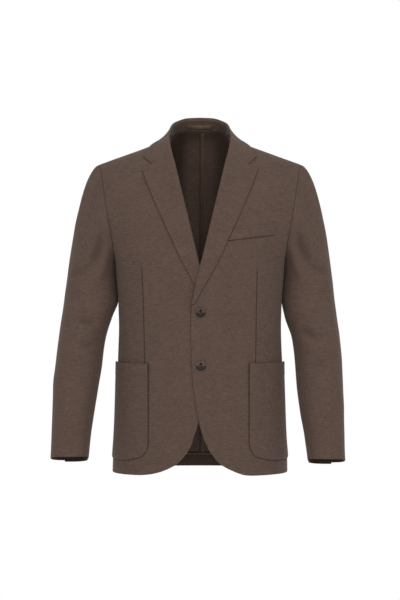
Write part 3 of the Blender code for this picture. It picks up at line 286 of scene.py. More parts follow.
def angle_at(x, z, back=False):
    wide_front, wide_back, _, _, square, _, _ = section(z)
    q = np.clip(np.abs(x) / (wide_back if back else wide_front), 0, 1)
    angle = np.arctan2(q, (1 - q ** square) ** (1 / square)) * np.where(np.asarray(x) < 0, -1, 1)
    return PI - angle if back else angle


def top_height(x, y):
    x, y = np.broadcast_arrays(np.asarray(x, float), np.asarray(y, float))
    low, high = np.full(x.shape, -150.0), ridge(x)
    for _ in range(30):
        z = (low + high) / 2
        on_front = trunk(angle_at(x, z), z)[..., 1]
        on_back = trunk(angle_at(x, z, True), z)[..., 1]
        inside = (y > on_front) & (y < on_back)
        low, high = np.where(inside, z, low), np.where(inside, high, z)
    return (low + high) / 2


def lift(x, z):
    return smooth(z, LIFT[:, 0], LIFT[:, 1]) * (1 - ease((x - 24) / 56.0))


def front_face(x, z, side):
    p = trunk(angle_at(x, z), z)
    if side > 0:
        p[..., 1] -= lift(x, z)
    return p


def front_normal(x, z, side):
    du = front_face(x + 0.5, z, side) - front_face(x - 0.5, z, side)
    dz = front_face(x, z + 0.5, side) - front_face(x, z - 0.5, side)
    n = np.cross(du, dz)
    return n / np.linalg.norm(n, axis=-1, keepdims=True)


def armhole_angle(z, back=False):
    _, _, _, _, square, _, _ = section(z)
    k = reach(z, ARMHOLE_BACK if back else ARMHOLE_FRONT)
    angle = np.arctan2((1 - k ** square) ** (1 / square), k)
    return PI - angle if back else angle


def armhole_ring():
    z = np.array(ARM_Z)
    front = np.stack([armhole_angle(z), z], 1)
    back = np.stack([armhole_angle(z, True), z], 1)[::-1]
    return np.concatenate([front, back[1:-1]])


def seam_angle(z, column, back):
    zs = np.append(SIDE[:, 0], JOINT_Z)
    angles = np.append(np.radians(SIDE[:, column]), armhole_angle(np.array(JOINT_Z), back))
    return smooth(z, zs, angles)


def side_line(z, back):
    z = np.asarray(z, float)
    return np.where(z < JOINT_Z, seam_angle(z, 2 if back else 1, back), armhole_angle(np.maximum(z, JOINT_Z), back))


def ruled(left, right, bottom=None, top=None, level=1.0):
    def at(u, v):
        a, b = left(v), right(v)
        p = a + (b - a) * u[:, None]
        if bottom is not None:
            zero = np.zeros_like(u)
            flat = left(zero) + (right(zero) - left(zero)) * u[:, None]
            p = p + ((1 - v) ** 3)[:, None] * (bottom(u) - flat)
        if top is not None:
            one = np.ones_like(u)
            flat = left(one) + (right(one) - left(one)) * u[:, None]
            p = p + (np.clip(v / level, 0, 1) ** 2)[:, None] * (top(u) - flat)
        return p
    return at


# ---------------------------------------------------------------- relief
def creases(x, z, table):
    """Height of the soft troughs and ridges at a point, each with a low shoulder beside it."""
    total = np.zeros_like(x)
    for x1, z1, x2, z2, width, height in table:
        d = np.array([x2 - x1, z2 - z1])
        length = np.hypot(*d)
        px, pz = x - x1, z - z1
        t = (px * d[0] + pz * d[1]) / length ** 2
        bow = 0.05 * length * (1 - (2 * np.clip(t, 0, 1) - 1) ** 2)
        off = (px * d[1] - pz * d[0]) / length - bow
        ends = np.clip(1 - (2 * np.clip(t, -0.15, 1.15) - 1) ** 2 / 1.69, 0, 1) ** 1.2
        q = (off / width) ** 2
        total += height * ends * (np.exp(-q) * (1 - 0.45 * q) if abs(height) > 0.95 else np.exp(-q))
    return total


def undulation(p, size, seed):
    """Slow unevenness of hand-pressed linen."""
    x, y, z = p[..., 0] / size, p[..., 1] / size, p[..., 2] / size
    a = np.sin(1.9 * x + 0.8 * z + seed) * np.sin(1.3 * z - 0.7 * y + 2.1 * seed)
    b = np.sin(3.7 * x - 1.9 * y + 1.4 * seed) * np.sin(2.9 * z + 1.1 * x + 0.6 * seed)
    return 0.6 * a + 0.4 * b


def trunk_relief(p, n, own=1):
    """Offset along the normal, in mm, of the trunk's cloth."""
    ahead = ease((-n[..., 1] - 0.15) / 0.45)
    behind = ease((n[..., 1] - 0.15) / 0.45)
    h = creases(p[..., 0], p[..., 2], FRONT_CREASES) * ahead
    h = h + creases(p[..., 0], p[..., 2], BACK_CREASES) * behind
    calm = ease((60 - p[..., 2]) / 90.0)
    return (h + 0.35 * undulation(p, 34.0, 0.7)) * calm


# ---------------------------------------------------------------- meshes
def stations(length, step, near=(True, True), marks=()):
    """Fractions 0..1 of a length in mm: even steps, closer together at the ends and beside marks."""
    close = [0, 0.45, 0.95, 1.6, 2.5, 3.8]
    out = list(np.linspace(0, length, max(2, int(round(length / step)) + 1)))
    if near[0]:
        out = [s for s in out if s > 5.2] + close
    if near[1]:
        out = [s for s in out if s < length - 5.2] + [length - c for c in close]
    for m in marks:
        out = [s for s in out if abs(s - m) > 4.4] + [m + c for c in (-3.4, -2.0, -1.2, -0.6, 0, 0.6, 1.2, 2.0, 3.4)]
    out = np.unique(np.round(np.clip(out, 0, length), 4))
    return out / length


def grid_of(point, us, vs):
    u, v = np.meshgrid(us, vs)
    return point(u.ravel(), v.ravel()).reshape(len(vs), len(us), 3)


def normals_of(p, away=None):
    n = np.cross(np.gradient(p, axis=1), np.gradient(p, axis=0))
    n /= np.maximum(np.linalg.norm(n, axis=-1, keepdims=True), 1e-9)
    if away is not None and np.sum((p - away(p)) * n) < 0:
        n = -n
    return n


def edge_distances(p):
    across = np.linalg.norm(np.diff(p, axis=1), axis=-1)
    up = np.linalg.norm(np.diff(p, axis=0), axis=-1)
    left = np.concatenate([np.zeros((len(p), 1)), np.cumsum(across, axis=1)], 1)
    bottom = np.concatenate([np.zeros((1, p.shape[1])), np.cumsum(up, axis=0)], 0)
    return {"left": left, "right": left[:, -1:] - left, "bottom": bottom, "top": bottom[-1:] - bottom}


def edge_profile(kind, d, wall):
    """How the face sinks towards an edge: into a pressed seam, or round a turned edge."""
    if kind == "seam":
        return -1.3 * np.exp(-(d / 1.35) ** 1.15)
    if kind == "soft":
        return -0.55 * np.exp(-(d / 1.6) ** 1.2)
    if kind in ("edge", "fold"):
        near = np.clip((1.5 - d) / 1.5, 0, 1)
        return -0.42 * wall * (1 - np.sqrt(np.clip(1 - near ** 2, 0, 1))) + 0.22 * np.exp(-((d - 5.0) / 2.4) ** 2)
    if kind == "sewn":  # laid on another piece and sewn close to its edge
        return -1.3 * np.exp(-(d / 1.5) ** 1.6)
    return np.zeros_like(d)


# Depth of the painted shade and width, in mm, of the darkened line along each kind of edge, where the seam or edge
# would hold shade.
PAINTED_EDGE_SHADE = {"seam": (0.85, 1.1), "soft": (0.35, 0.9), "sewn": (1.0, 1.5), "edge": (0.75, 0.75), "fold": (0.95, 1.2)}


def cloth(name, p, wall, away, edges, relief=None, uv=None, skin=None, node=None, inward=False, painted_wrong_side=None, rear_shade=None, trough=0.0):
    """Closed shell from a grid of points: its face, its back, and a rounded rim between them."""
    rows, cols = p.shape[:2]
    n = normals_of(p, away)
    if inward:
        n = -n
    d = edge_distances(p)
    h = np.zeros((rows, cols)) if relief is None else relief(p, n)
    # painted shade: the deep creases are darkened in colour, as the seams and edges are below
    painted_shade = trough * np.clip((-h - 0.6) / 4.6, 0, 1)
    for where, kind in edges.items():
        if kind:
            h = h + edge_profile(kind, d[where], wall)
            deep, wide = PAINTED_EDGE_SHADE[kind]
            painted_shade = np.maximum(painted_shade, deep * np.exp(-(d[where] / wide) ** 2))
    face = p + n * h[..., None]
    n2 = normals_of(face)
    n2 *= np.sign(np.sum(n2 * n, axis=-1, keepdims=True) + 1e-12)
    back = face - n2 * wall
    # rim
    idx = np.arange(rows * cols).reshape(rows, cols)
    loop = np.concatenate([idx[0, :-1], idx[:-1, -1], idx[-1, :0:-1], idx[:0:-1, 0]])
    flat_face, flat_back = face.reshape(-1, 3), back.reshape(-1, 3)
    inner = p[np.clip(np.arange(rows), 1, rows - 2)][:, np.clip(np.arange(cols), 1, cols - 2)].reshape(-1, 3)
    out = flat_face[loop] - inner[loop]
    out -= np.sum(out * n2.reshape(-1, 3)[loop], axis=1, keepdims=True) * n2.reshape(-1, 3)[loop]
    out /= np.maximum(np.linalg.norm(out, axis=1, keepdims=True), 1e-9)
    kinds = ([edges.get("bottom")] * (cols - 1) + [edges.get("right")] * (rows - 1)
             + [edges.get("top")] * (cols - 1) + [edges.get("left")] * (rows - 1))
    swell = np.array([0.16 if k in ("seam", "soft") else 0.3 * wall for k in kinds])
    # corners belong to both their edges: keep the smaller
    for corner in (0, cols - 1, cols + rows - 2, 2 * cols + rows - 3):
        swell[corner] = min(swell[corner], swell[corner - 1])
    mid = (flat_face[loop] + flat_back[loop]) / 2 + out * swell[:, None]
    total = rows * cols
    verts = np.concatenate([flat_face, flat_back, mid]) * MM
    a, b, c, e = idx[:-1, :-1].ravel(), idx[:-1, 1:].ravel(), idx[1:, 1:].ravel(), idx[1:, :-1].ravel()
    front = np.stack([a, b, c, e], 1)
    # wind the face outwards
    if np.sum(np.cross(flat_face[b] - flat_face[a], flat_face[e] - flat_face[a]) * n2.reshape(-1, 3)[a]) < 0:
        front = front[:, ::-1]
        wound = -1
    else:
        wound = 1
    rear = front[:, ::-1] + total
    k = np.arange(len(loop))
    k1 = (k + 1) % len(loop)
    m, m1 = 2 * total + k, 2 * total + k1
    rim_a = np.stack([loop[k], m, m1, loop[k1]], 1)
    rim_b = np.stack([m, loop[k] + total, loop[k1] + total, m1], 1)
    if wound < 0:
        rim_a, rim_b = rim_a[:, ::-1], rim_b[:, ::-1]
    quads = np.concatenate([front, rear, rim_a, rim_b])
    mesh = bpy.data.meshes.new(name)
    mesh.vertices.add(len(verts))
    mesh.vertices.foreach_set("co", verts.astype(np.float32).ravel())
    mesh.loops.add(quads.size)
    mesh.loops.foreach_set("vertex_index", quads.astype(np.int32).ravel())
    mesh.polygons.add(len(quads))
    mesh.polygons.foreach_set("loop_start", np.arange(0, quads.size, 4, dtype=np.int32))
    mesh.polygons.foreach_set("use_smooth", np.ones(len(quads), bool))
    mesh.update(calc_edges=True)
    mesh.validate()
    if uv is None:
        uv = grain(p)
    flat_uv = uv.reshape(-1, 2)
    all_uv = np.concatenate([flat_uv, flat_uv, flat_uv[loop]])
    layer = mesh.uv_layers.new(name="grain")
    order = np.empty(len(mesh.loops), np.int32)
    mesh.loops.foreach_get("vertex_index", order)
    layer.data.foreach_set("uv", (all_uv[order] / 100.0).astype(np.float32).ravel())
    # the painted shade, kept on the face, the rim and the wrong side
    shade = mesh.attributes.new("painted_shade", "FLOAT", "POINT")
    g = painted_shade.ravel()
    # painted shade on the wrong side, where one is given
    rear_g = g * 0 if rear_shade is None else rear_shade(p).ravel()
    shade.data.foreach_set("value", np.concatenate([g, rear_g, g[loop]]).astype(np.float32))
    mesh.materials.append(skin)
    if painted_wrong_side is not None:
        # the wrong side of the cloth, in its own copy of the linen: lightened for the back (painted light), darkened
        # for the sleeves (painted shade)
        mesh.materials.append(painted_wrong_side)
        which = np.zeros(len(quads), np.int32)
        which[len(front):2 * len(front)] = 1
        mesh.polygons.foreach_set("material_index", which)
    piece = bpy.data.objects.new(name, mesh)
    bpy.context.scene.collection.objects.link(piece)
    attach(piece, "root")
    if node:
        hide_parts(node)
    MADE[name] = {"face": face, "normal": n2, "p": p, "u": uv}
    return piece


MADE = {}


def grain(p, start=0.0, foot=None):
    """Cloth coordinates in mm: across the piece, and up it along the cloth."""
    d = edge_distances(p)
    t = np.gradient(p, axis=1)
    t /= np.maximum(np.linalg.norm(t, axis=-1, keepdims=True), 1e-9)
    step = np.diff(p, axis=0)
    along_t = np.sum(step * t[1:], axis=-1, keepdims=True)
    rise = np.linalg.norm(step - along_t * t[1:], axis=-1)
    up = np.concatenate([np.zeros((1, p.shape[1])), np.cumsum(rise, axis=0)], 0)
    if foot is not None:
        up = up + foot[None, :]
    return np.stack([start + d["left"], up], -1)


def trunk_grain(p, angle):
    """Cloth coordinates on the trunk, the warp upright."""
    ring = np.linspace(0, PI, 400)
    line = trunk(ring, np.full(400, -420.0))
    arc = np.concatenate([[0], np.cumsum(np.linalg.norm(np.diff(line, axis=0), axis=1))])
    across = np.interp(np.abs(angle), ring, arc) * np.sign(angle)
    uv = grain(p, 0.0, p[0, :, 2] - HEM_Z)
    return np.stack([across, uv[..., 1]], -1)


def trunk_axis(p):
    return np.stack([p[..., 0] * 0.55, p[..., 1] * 0 - 3, np.minimum(p[..., 2], -90)], -1)


def mirror(p, side):
    return p * np.array([side, 1, 1])


# ---------------------------------------------------------------- materials
def nodes_for(name):
    made = bpy.data.materials.new(name)
    made.use_nodes = True
    tree = made.node_tree
    return made, tree, tree.nodes["Principled BSDF"]


def add(tree, kind, **values):
    node = tree.nodes.new(kind)
    for key, value in values.items():
        if key in node.inputs:
            node.inputs[key].default_value = value
        else:
            setattr(node, key, value)
    return node


def math(tree, operation, a, b=None, clamp=False):
    node = tree.nodes.new("ShaderNodeMath")
    node.operation, node.use_clamp = operation, clamp
    for i, v in enumerate((a, b)):
        if v is None:
            continue
        if isinstance(v, (int, float)):
            node.inputs[i].default_value = v
        else:
            tree.links.new(v, node.inputs[i])
    return node.outputs[0]


def stretched(tree, coord, scale, detail=2.0, rough=0.55, turn=0.0):
    """Noise drawn out along the thread: scale is how many per 100 mm across and along."""
    place = add(tree, "ShaderNodeMapping")
    place.inputs["Scale"].default_value = (scale[0], scale[1], 1)
    place.inputs["Rotation"].default_value = (0, 0, turn)
    tree.links.new(coord, place.inputs["Vector"])
    noise = add(tree, "ShaderNodeTexNoise", noise_dimensions="2D")
    noise.inputs["Scale"].default_value = 1.0
    noise.inputs["Detail"].default_value = detail
    noise.inputs["Roughness"].default_value = rough
    tree.links.new(place.outputs[0], noise.inputs["Vector"])
    return noise.outputs["Fac"]


def linen(name, colour, light=1.0, weave=1.0, depth=0.0):
    """Plain-weave linen: two sets of slubby threads, uneven in tone, matt with a little bloom."""
    made, tree, shader = nodes_for(name)
    link = tree.links.new
    uv = add(tree, "ShaderNodeUVMap")
    uv.uv_map = "grain"
    coord = uv.outputs["UV"]
    # threads: 11 to the centimetre in the warp, 10 in the weft
    weft_slub = stretched(tree, coord, (9.0, 74.0), 3.0, 0.62)
    warp_slub = stretched(tree, coord, (70.0, 8.0), 3.0, 0.6)
    weft_long = stretched(tree, coord, (2.6, 66.0), 1.0, 0.5)
    weft_fine = stretched(tree, coord, (24.0, 150.0), 2.0, 0.6)
    cloud = stretched(tree, coord, (2.6, 2.0), 3.0, 0.5)
    tone = math(tree, "MULTIPLY", math(tree, "SUBTRACT", weft_slub, 0.5), 1.05)
    tone = math(tree, "ADD", tone, math(tree, "MULTIPLY", math(tree, "SUBTRACT", warp_slub, 0.5), 0.62))
    tone = math(tree, "ADD", tone, math(tree, "MULTIPLY", math(tree, "SUBTRACT", weft_long, 0.5), 0.55))
    tone = math(tree, "ADD", tone, math(tree, "MULTIPLY", math(tree, "SUBTRACT", weft_fine, 0.5), 0.7))
    tone = math(tree, "ADD", tone, math(tree, "MULTIPLY", math(tree, "SUBTRACT", cloud, 0.5), 0.16))
    tone = math(tree, "ADD", tone, 0.5, True)
    ramp = add(tree, "ShaderNodeValToRGB")
    link(tone, ramp.inputs["Fac"])
    # light scales the whole colour; the darker and lighter copies made with it are painted shade and painted light
    c = np.array(colour) * light
    stops = ((0.0, c * 0.58), (0.5, c), (1.0, c * 1.48 + np.array([0.002, 0.001, 0.0])))
    ramp.color_ramp.elements[0].position, ramp.color_ramp.elements[0].color = 0.0, (*stops[0][1], 1)
    ramp.color_ramp.elements[1].position, ramp.color_ramp.elements[1].color = 1.0, (*stops[2][1], 1)
    between = ramp.color_ramp.elements.new(0.5)
    between.color = (*stops[1][1], 1)
    # painted shade: seams, edges, darts and deep creases darkened in the colour
    painted_shade = add(tree, "ShaderNodeAttribute", attribute_name="painted_shade")
    mix = add(tree, "ShaderNodeMix", data_type="RGBA", blend_type="MULTIPLY")
    link(math(tree, "MULTIPLY", painted_shade.outputs["Fac"], 0.9), mix.inputs["Factor"])
    link(ramp.outputs["Color"], mix.inputs["A"])
    mix.inputs["B"].default_value = (0.20, 0.18, 0.17, 1)
    link(mix.outputs["Result"], shader.inputs["Base Color"])
    # weave relief
    split = add(tree, "ShaderNodeSeparateXYZ")
    link(coord, split.inputs[0])
    warp = math(tree, "SINE", math(tree, "MULTIPLY", split.outputs[0], 2 * PI * 110))
    weft = math(tree, "SINE", math(tree, "MULTIPLY", split.outputs[1], 2 * PI * 100))
    knit = math(tree, "MULTIPLY", math(tree, "MULTIPLY", warp, weft), 0.5)
    height = math(tree, "ADD", math(tree, "MULTIPLY", weft_slub, 0.9), math(tree, "MULTIPLY", warp_slub, 0.6))
    height = math(tree, "ADD", height, math(tree, "MULTIPLY", knit, 0.35))
    height = math(tree, "ADD", height, math(tree, "MULTIPLY", weft_fine, 0.35))
    bump = add(tree, "ShaderNodeBump")
    bump.inputs["Strength"].default_value = 0.55 * weave
    bump.inputs["Distance"].default_value = 0.00035
    link(height, bump.inputs["Height"])
    link(bump.outputs["Normal"], shader.inputs["Normal"])
    rough = math(tree, "ADD", math(tree, "MULTIPLY", weft_slub, 0.14), 0.78)
    link(rough, shader.inputs["Roughness"])
    shader.inputs["Specular IOR Level"].default_value = 0.18
    shader.inputs["Sheen Weight"].default_value = 0.22
    shader.inputs["Sheen Roughness"].default_value = 0.45
    shader.inputs["Sheen Tint"].default_value = (0.62, 0.52, 0.46, 1)
    return made


def twill(name, colour):
    """Narrow cotton tape: steep ribs and a soft shine."""
    made, tree, shader = nodes_for(name)
    link = tree.links.new
    uv = add(tree, "ShaderNodeUVMap")
    uv.uv_map = "grain"
    split = add(tree, "ShaderNodeSeparateXYZ")
    link(uv.outputs["UV"], split.inputs[0])
    sum_ = math(tree, "ADD", math(tree, "MULTIPLY", split.outputs[0], 150.0), math(tree, "MULTIPLY", split.outputs[1], 90.0))
    rib = math(tree, "SINE", math(tree, "MULTIPLY", sum_, 2 * PI))
    tone = stretched(tree, uv.outputs["UV"], (60, 9), 3.0)
    shade = math(tree, "ADD", math(tree, "MULTIPLY", rib, 0.13), tone, True)
    ramp = add(tree, "ShaderNodeValToRGB")
    c = np.array(colour)
    ramp.color_ramp.elements[0].position, ramp.color_ramp.elements[0].color = 0.2, (*(c * 0.62), 1)
    ramp.color_ramp.elements[1].position, ramp.color_ramp.elements[1].color = 0.8, (*(c * 1.3), 1)
    link(shade, ramp.inputs["Fac"])
    link(ramp.outputs["Color"], shader.inputs["Base Color"])
    bump = add(tree, "ShaderNodeBump")
    bump.inputs["Strength"].default_value = 0.5
    bump.inputs["Distance"].default_value = 0.0003
    link(math(tree, "ADD", rib, tone), bump.inputs["Height"])
    link(bump.outputs["Normal"], shader.inputs["Normal"])
    shader.inputs["Roughness"].default_value = 0.62
    shader.inputs["Sheen Weight"].default_value = 0.25
    shader.inputs["Specular IOR Level"].default_value = 0.3
    return made


def thread(name, colour):
    made, tree, shader = nodes_for(name)
    link = tree.links.new
    place = add(tree, "ShaderNodeTexCoord")
    noise = add(tree, "ShaderNodeTexNoise")
    noise.inputs["Scale"].default_value = 1400.0
    noise.inputs["Detail"].default_value = 2.0
    link(place.outputs["Object"], noise.inputs["Vector"])
    ramp = add(tree, "ShaderNodeValToRGB")
    c = np.array(colour)
    ramp.color_ramp.elements[0].position, ramp.color_ramp.elements[0].color = 0.25, (*(c * 0.65), 1)
    ramp.color_ramp.elements[1].position, ramp.color_ramp.elements[1].color = 0.75, (*(c * 1.3), 1)
    link(noise.outputs["Fac"], ramp.inputs["Fac"])
    link(ramp.outputs["Color"], shader.inputs["Base Color"])
    shader.inputs["Roughness"].default_value = 0.55
    shader.inputs["Sheen Weight"].default_value = 0.2
    return made


def horn(name):
    """Dark brown horn: flowing bands, a clouded lighter part, polished rim."""
    made, tree, shader = nodes_for(name)
    link = tree.links.new
    place = add(tree, "ShaderNodeTexCoord")
    shift = add(tree, "ShaderNodeMapping")
    shift.inputs["Scale"].default_value = (90.0, 90.0, 190.0)
    link(place.outputs["Object"], shift.inputs["Vector"])
    noise = add(tree, "ShaderNodeTexNoise")
    noise.inputs["Scale"].default_value = 1.0
    noise.inputs["Detail"].default_value = 4.0
    noise.inputs["Distortion"].default_value = 1.2
    link(shift.outputs[0], noise.inputs["Vector"])
    ramp = add(tree, "ShaderNodeValToRGB")
    ramp.color_ramp.elements[0].position, ramp.color_ramp.elements[0].color = 0.30, (0.058, 0.035, 0.026, 1)
    ramp.color_ramp.elements[1].position, ramp.color_ramp.elements[1].color = 0.74, (0.130, 0.076, 0.050, 1)
    mid = ramp.color_ramp.elements.new(0.52)
    mid.color = (0.088, 0.053, 0.037, 1)
    link(noise.outputs["Fac"], ramp.inputs["Fac"])
    # painted shade in the horn's colour: near black over its lower rim, in its dished middle and in a mark at the top
    # of the rim
    dark = add(tree, "ShaderNodeAttribute", attribute_name="horn_painted_shade")
    mix = add(tree, "ShaderNodeMix", data_type="RGBA")
    link(dark.outputs["Fac"], mix.inputs["Factor"])
    link(ramp.outputs["Color"], mix.inputs["A"])
    mix.inputs["B"].default_value = (0.006, 0.005, 0.005, 1)
    link(mix.outputs["Result"], shader.inputs["Base Color"])
    shader.inputs["Roughness"].default_value = 0.42
    shader.inputs["Specular IOR Level"].default_value = 0.22
    shader.inputs["Coat Weight"].default_value = 0.08
    shader.inputs["Coat Roughness"].default_value = 0.18
    return made


BROWN = (0.0945, 0.0610, 0.0475)
LINEN = linen("brown_linen", BROWN)
FACING = linen("brown_linen_facing", BROWN, 1.0)
# the next three are the same linen in darker and lighter copies for the insides: painted shade (0.62, 0.45) and painted
# light (1.3)
INNER_SHADED = linen("brown_linen_inside_painted_shade", BROWN, 0.62)
BACK_INSIDE_LIT = linen("brown_linen_back_inside_painted_light", BROWN, 1.3)
SHADED = linen("brown_linen_wrong_side_painted_shade", BROWN, 0.45)
TAPE = twill("golden_brown_tape", (0.104, 0.060, 0.028))
THREAD = thread("golden_brown_thread", (0.135, 0.080, 0.045))
DARK_THREAD = thread("brown_thread", (0.060, 0.038, 0.030))
HORN = horn("brown_horn")


# ---------------------------------------------------------------- fronts
def rows_at(rows, step):
    """Fractions of the row table spaced by step mm."""
    rows = np.array(rows, float)
    length = np.abs(np.diff(rows, axis=0)).max(axis=1)
    length = np.maximum(length, 0.02)
    total = np.concatenate([[0], np.cumsum(length)])
    wanted = np.unique(np.concatenate([
        np.linspace(0, total[-1], int(total[-1] / step) + 1),
        [0.5, 1.1, 2.0, 3.4], total[-1] - np.array([0.4, 0.9, 1.6, 2.6, 4.0])]))
    return np.interp(wanted, total, np.linspace(0, 1, len(rows)))


def make_front(side):
    edge, cut = EDGE[side], CUTAWAY[side]
    rows = np.array(FRONT_ROWS, float)
    v_rows = np.linspace(0, 1, len(rows))

    def left(v):
        z = np.interp(v, v_rows, rows[:, 0])
        return np.stack([angle_at(smooth(z, edge[:, 0], edge[:, 1]), z), z], -1)

    def right(v):
        z = np.interp(v, v_rows, rows[:, 1])
        return np.stack([side_line(z, False), z], -1)

    def bottom(u):
        p = along(cut, u)
        return np.stack([angle_at(p[..., 0], p[..., 1]), p[..., 1]], -1)

    def top(u):
        x = NECK_X + (SHOULDER_X - NECK_X) * u
        z = ridge(x)
        return np.stack([angle_at(x, z), z], -1)

    flat = ruled(left, right, bottom, top, v_rows[-2])
    dart = DART[side]
    vs = rows_at(rows, 3.6)
    us = stations(205.0, 3.6, (True, True), (135.0,))
    mark = 135.0 / 205.0

    # where the dart's line crosses each row
    lo, hi = np.zeros(len(vs)), np.ones(len(vs))
    for _ in range(40):
        m = (lo + hi) / 2
        q = flat(m, vs)
        x = trunk(q[:, 0], q[:, 1])[:, 0]
        line = smooth(q[:, 1], dart[:, 1], dart[:, 0])
        lo, hi = np.where(x < line, m, lo), np.where(x < line, hi, m)
    found = np.clip((lo + hi) / 2, 0.3, 0.85)
    # it runs on only near the dart, and fades to the even division above it
    z_mid = flat(found, vs)[:, 1]
    near = ease((-215 - z_mid) / 60.0)
    at_dart = found * near + mark * (1 - near)

    def warped(u, v):
        c = np.interp(v, vs, at_dart)
        return np.where(u < mark, u / mark * c, 1 - (1 - u) / (1 - mark) * (1 - c))

    def point(u, v):
        m = flat(warped(u, v), v)
        p = trunk(m[:, 0], m[:, 1])
        if side > 0:
            p[:, 1] -= lift(p[:, 0], p[:, 2])
        return mirror(p, side)

    p = grid_of(point, us, vs)
    u, v = np.meshgrid(us, vs)
    m = flat(warped(u.ravel(), v.ravel()), v.ravel()).reshape(len(vs), len(us), 2)
    from_dart = np.abs(u - mark) * 205.0
    z = p[..., 2]
    on_dart = ease((dart[0, 1] + 2 - z) / 26.0) * ease((z + 486) / 6.0)

    def relief(q, n):
        h = trunk_relief(q, n)
        sunk = (-1.25 * np.exp(-(from_dart / 1.0) ** 1.5) + 0.22 * np.exp(-((from_dart - 3.4) / 1.8) ** 2)) * on_dart
        return h + sunk

    uv = trunk_grain(p, m[..., 0] * side)
    name = "front_left" if side > 0 else "front_right"
    piece = cloth(name + "_cloth", p, 1.9, trunk_axis, {"left": "edge", "right": "soft", "bottom": "edge", "top": "soft"},
                  relief, uv, LINEN, name)
    # painted shade along the dart's line, added to the seams' and edges' own
    g = np.zeros(len(piece.data.vertices), np.float32)
    piece.data.attributes["painted_shade"].data.foreach_get("value", g)
    extra = (np.exp(-(from_dart / 0.9) ** 2) * on_dart).ravel()
    g[:extra.size] = np.maximum(g[:extra.size], extra)
    piece.data.attributes["painted_shade"].data.foreach_set("value", g)
    return piece


def make_side(side):
    zs = np.array(SEAM_Z)
    v_rows = np.linspace(0, 1, len(zs))
    q_first = ARM_Z.index(JOINT_Z)
    z_dense = np.linspace(JOINT_Z, ARMPIT_Z, 60)
    under = np.concatenate([np.stack([armhole_angle(z_dense), z_dense], 1),
                            np.stack([armhole_angle(z_dense, True), z_dense], 1)[::-1][1:]])

    def left(v):
        z = np.interp(v, v_rows, zs)
        return np.stack([seam_angle(z, 1, False), z], -1)

    def right(v):
        z = np.interp(v, v_rows, zs)
        return np.stack([seam_angle(z, 2, True), z], -1)

    us_top = (under[:, 0] - under[0, 0]) / (under[-1, 0] - under[0, 0])

    def top(u):
        return np.stack([np.interp(u, us_top, under[:, 0]), np.interp(u, us_top, under[:, 1])], -1)

    flat = ruled(left, right, None, top)

    def point(u, v):
        m = flat(u, v)
        return mirror(trunk(m[:, 0], m[:, 1]), side)

    us = stations(160.0, 3.8)
    vs = rows_at([(z, z) for z in SEAM_Z], 3.8)
    p = grid_of(point, us, vs)
    u, v = np.meshgrid(us, vs)
    m = flat(u.ravel(), v.ravel()).reshape(len(vs), len(us), 2)
    name = "side_left" if side > 0 else "side_right"
    return cloth(name + "_cloth", p, 1.9, trunk_axis, {"left": "soft", "right": "soft", "bottom": "edge", "top": "seam"},
                 trunk_relief, trunk_grain(p, m[..., 0] * side), LINEN, name)


def make_back(side):
    rows = np.array(BACK_ROWS, float)
    v_rows = np.linspace(0, 1, len(rows))
    neck_share = 0.34

    def left(v):
        z = np.interp(v, v_rows, rows[:, 0])
        return np.stack([side_line(z, True), z], -1)

    def right(v):
        z = np.interp(v, v_rows, rows[:, 1])
        return np.stack([np.full_like(z, PI), z], -1)

    def top(u):
        x = np.where(u < 1 - neck_share, SHOULDER_X + (NECK_X - SHOULDER_X) * u / (1 - neck_share),
                     NECK_X * (1 - u) / neck_share)
        z = np.where(x >= NECK_X, ridge(x), smooth(x, BACK_NECK[:, 0], BACK_NECK[:, 1]))
        return np.stack([angle_at(x, z, True), z], -1)

    flat = ruled(left, right, None, top, v_rows[-2])

    def point(u, v):
        m = flat(u, v)
        p = trunk(m[:, 0], m[:, 1])
        p[:, 0] = np.where(u > 1 - 1e-9, 0.0, p[:, 0])
        return mirror(p, side)

    us = stations(205.0, 3.8)
    vs = rows_at(rows, 3.8)
    p = grid_of(point, us, vs)
    u, v = np.meshgrid(us, vs)
    m = flat(u.ravel(), v.ravel()).reshape(len(vs), len(us), 2)
    name = "back_left" if side > 0 else "back_right"
    # the wrong side: a lightened copy of the linen (painted light), darker towards the sides, under the collar and near
    # the hem (painted shade)
    return cloth(name + "_cloth", p, 1.9, trunk_axis, {"left": "seam", "right": "seam", "bottom": "edge", "top": "soft"},
                 trunk_relief, trunk_grain(p, m[..., 0] * side), LINEN, name, painted_wrong_side=BACK_INSIDE_LIT, rear_shade=back_inside_shade)


def back_inside_shade(p):
    """Painted shade on the wrong side of the back: darker at the sides, under the collar and towards the hem than low
    in the opening.
    """
    z, x = p[..., 2], p[..., 0]
    level = np.interp(z, [-720, -600, -300, -200, -110, -40, 60], [0.42, 0.38, 0.0, 0.05, 0.32, 0.42, 0.52])
    beside = ease((np.abs(x) - 20) / 32.0) * np.where(x < 0, 0.62, 0.42) * ease((z + 240) / 110.0)
    return np.clip(level + beside, 0, 1)


# ---------------------------------------------------------------- lapels and collar
# Section of the roll: how far inwards from the roll line, and how high above the front. The facing comes from inside.
ROLL_SECTION = np.array([(9.0, -2.7), (3.0, -2.9), (-0.6, -2.3), (-1.7, -0.4), (-1.6, 1.7), (-0.5, 3.8), (2.2, 5.2),
                         (6.0, 5.4), (10, 4.9), (17, 4.1), (24, 3.5), (32, 3.1)], float)


def gorge_bend(share):
    start, tip = np.array(ROLL_TOP), np.array((LAPEL_EDGE[-1, 1], LAPEL_EDGE[-1, 0]))
    notch = 32.0 / np.linalg.norm(tip - start) * (1 - GORGE_SHARE) + GORGE_SHARE
    off = np.array(NOTCH) - (start + (tip - start) * notch)
    size = np.where(share < notch, share / notch, (1 - share) / (1 - notch))
    return np.clip(size, 0, 1)[:, None] * off


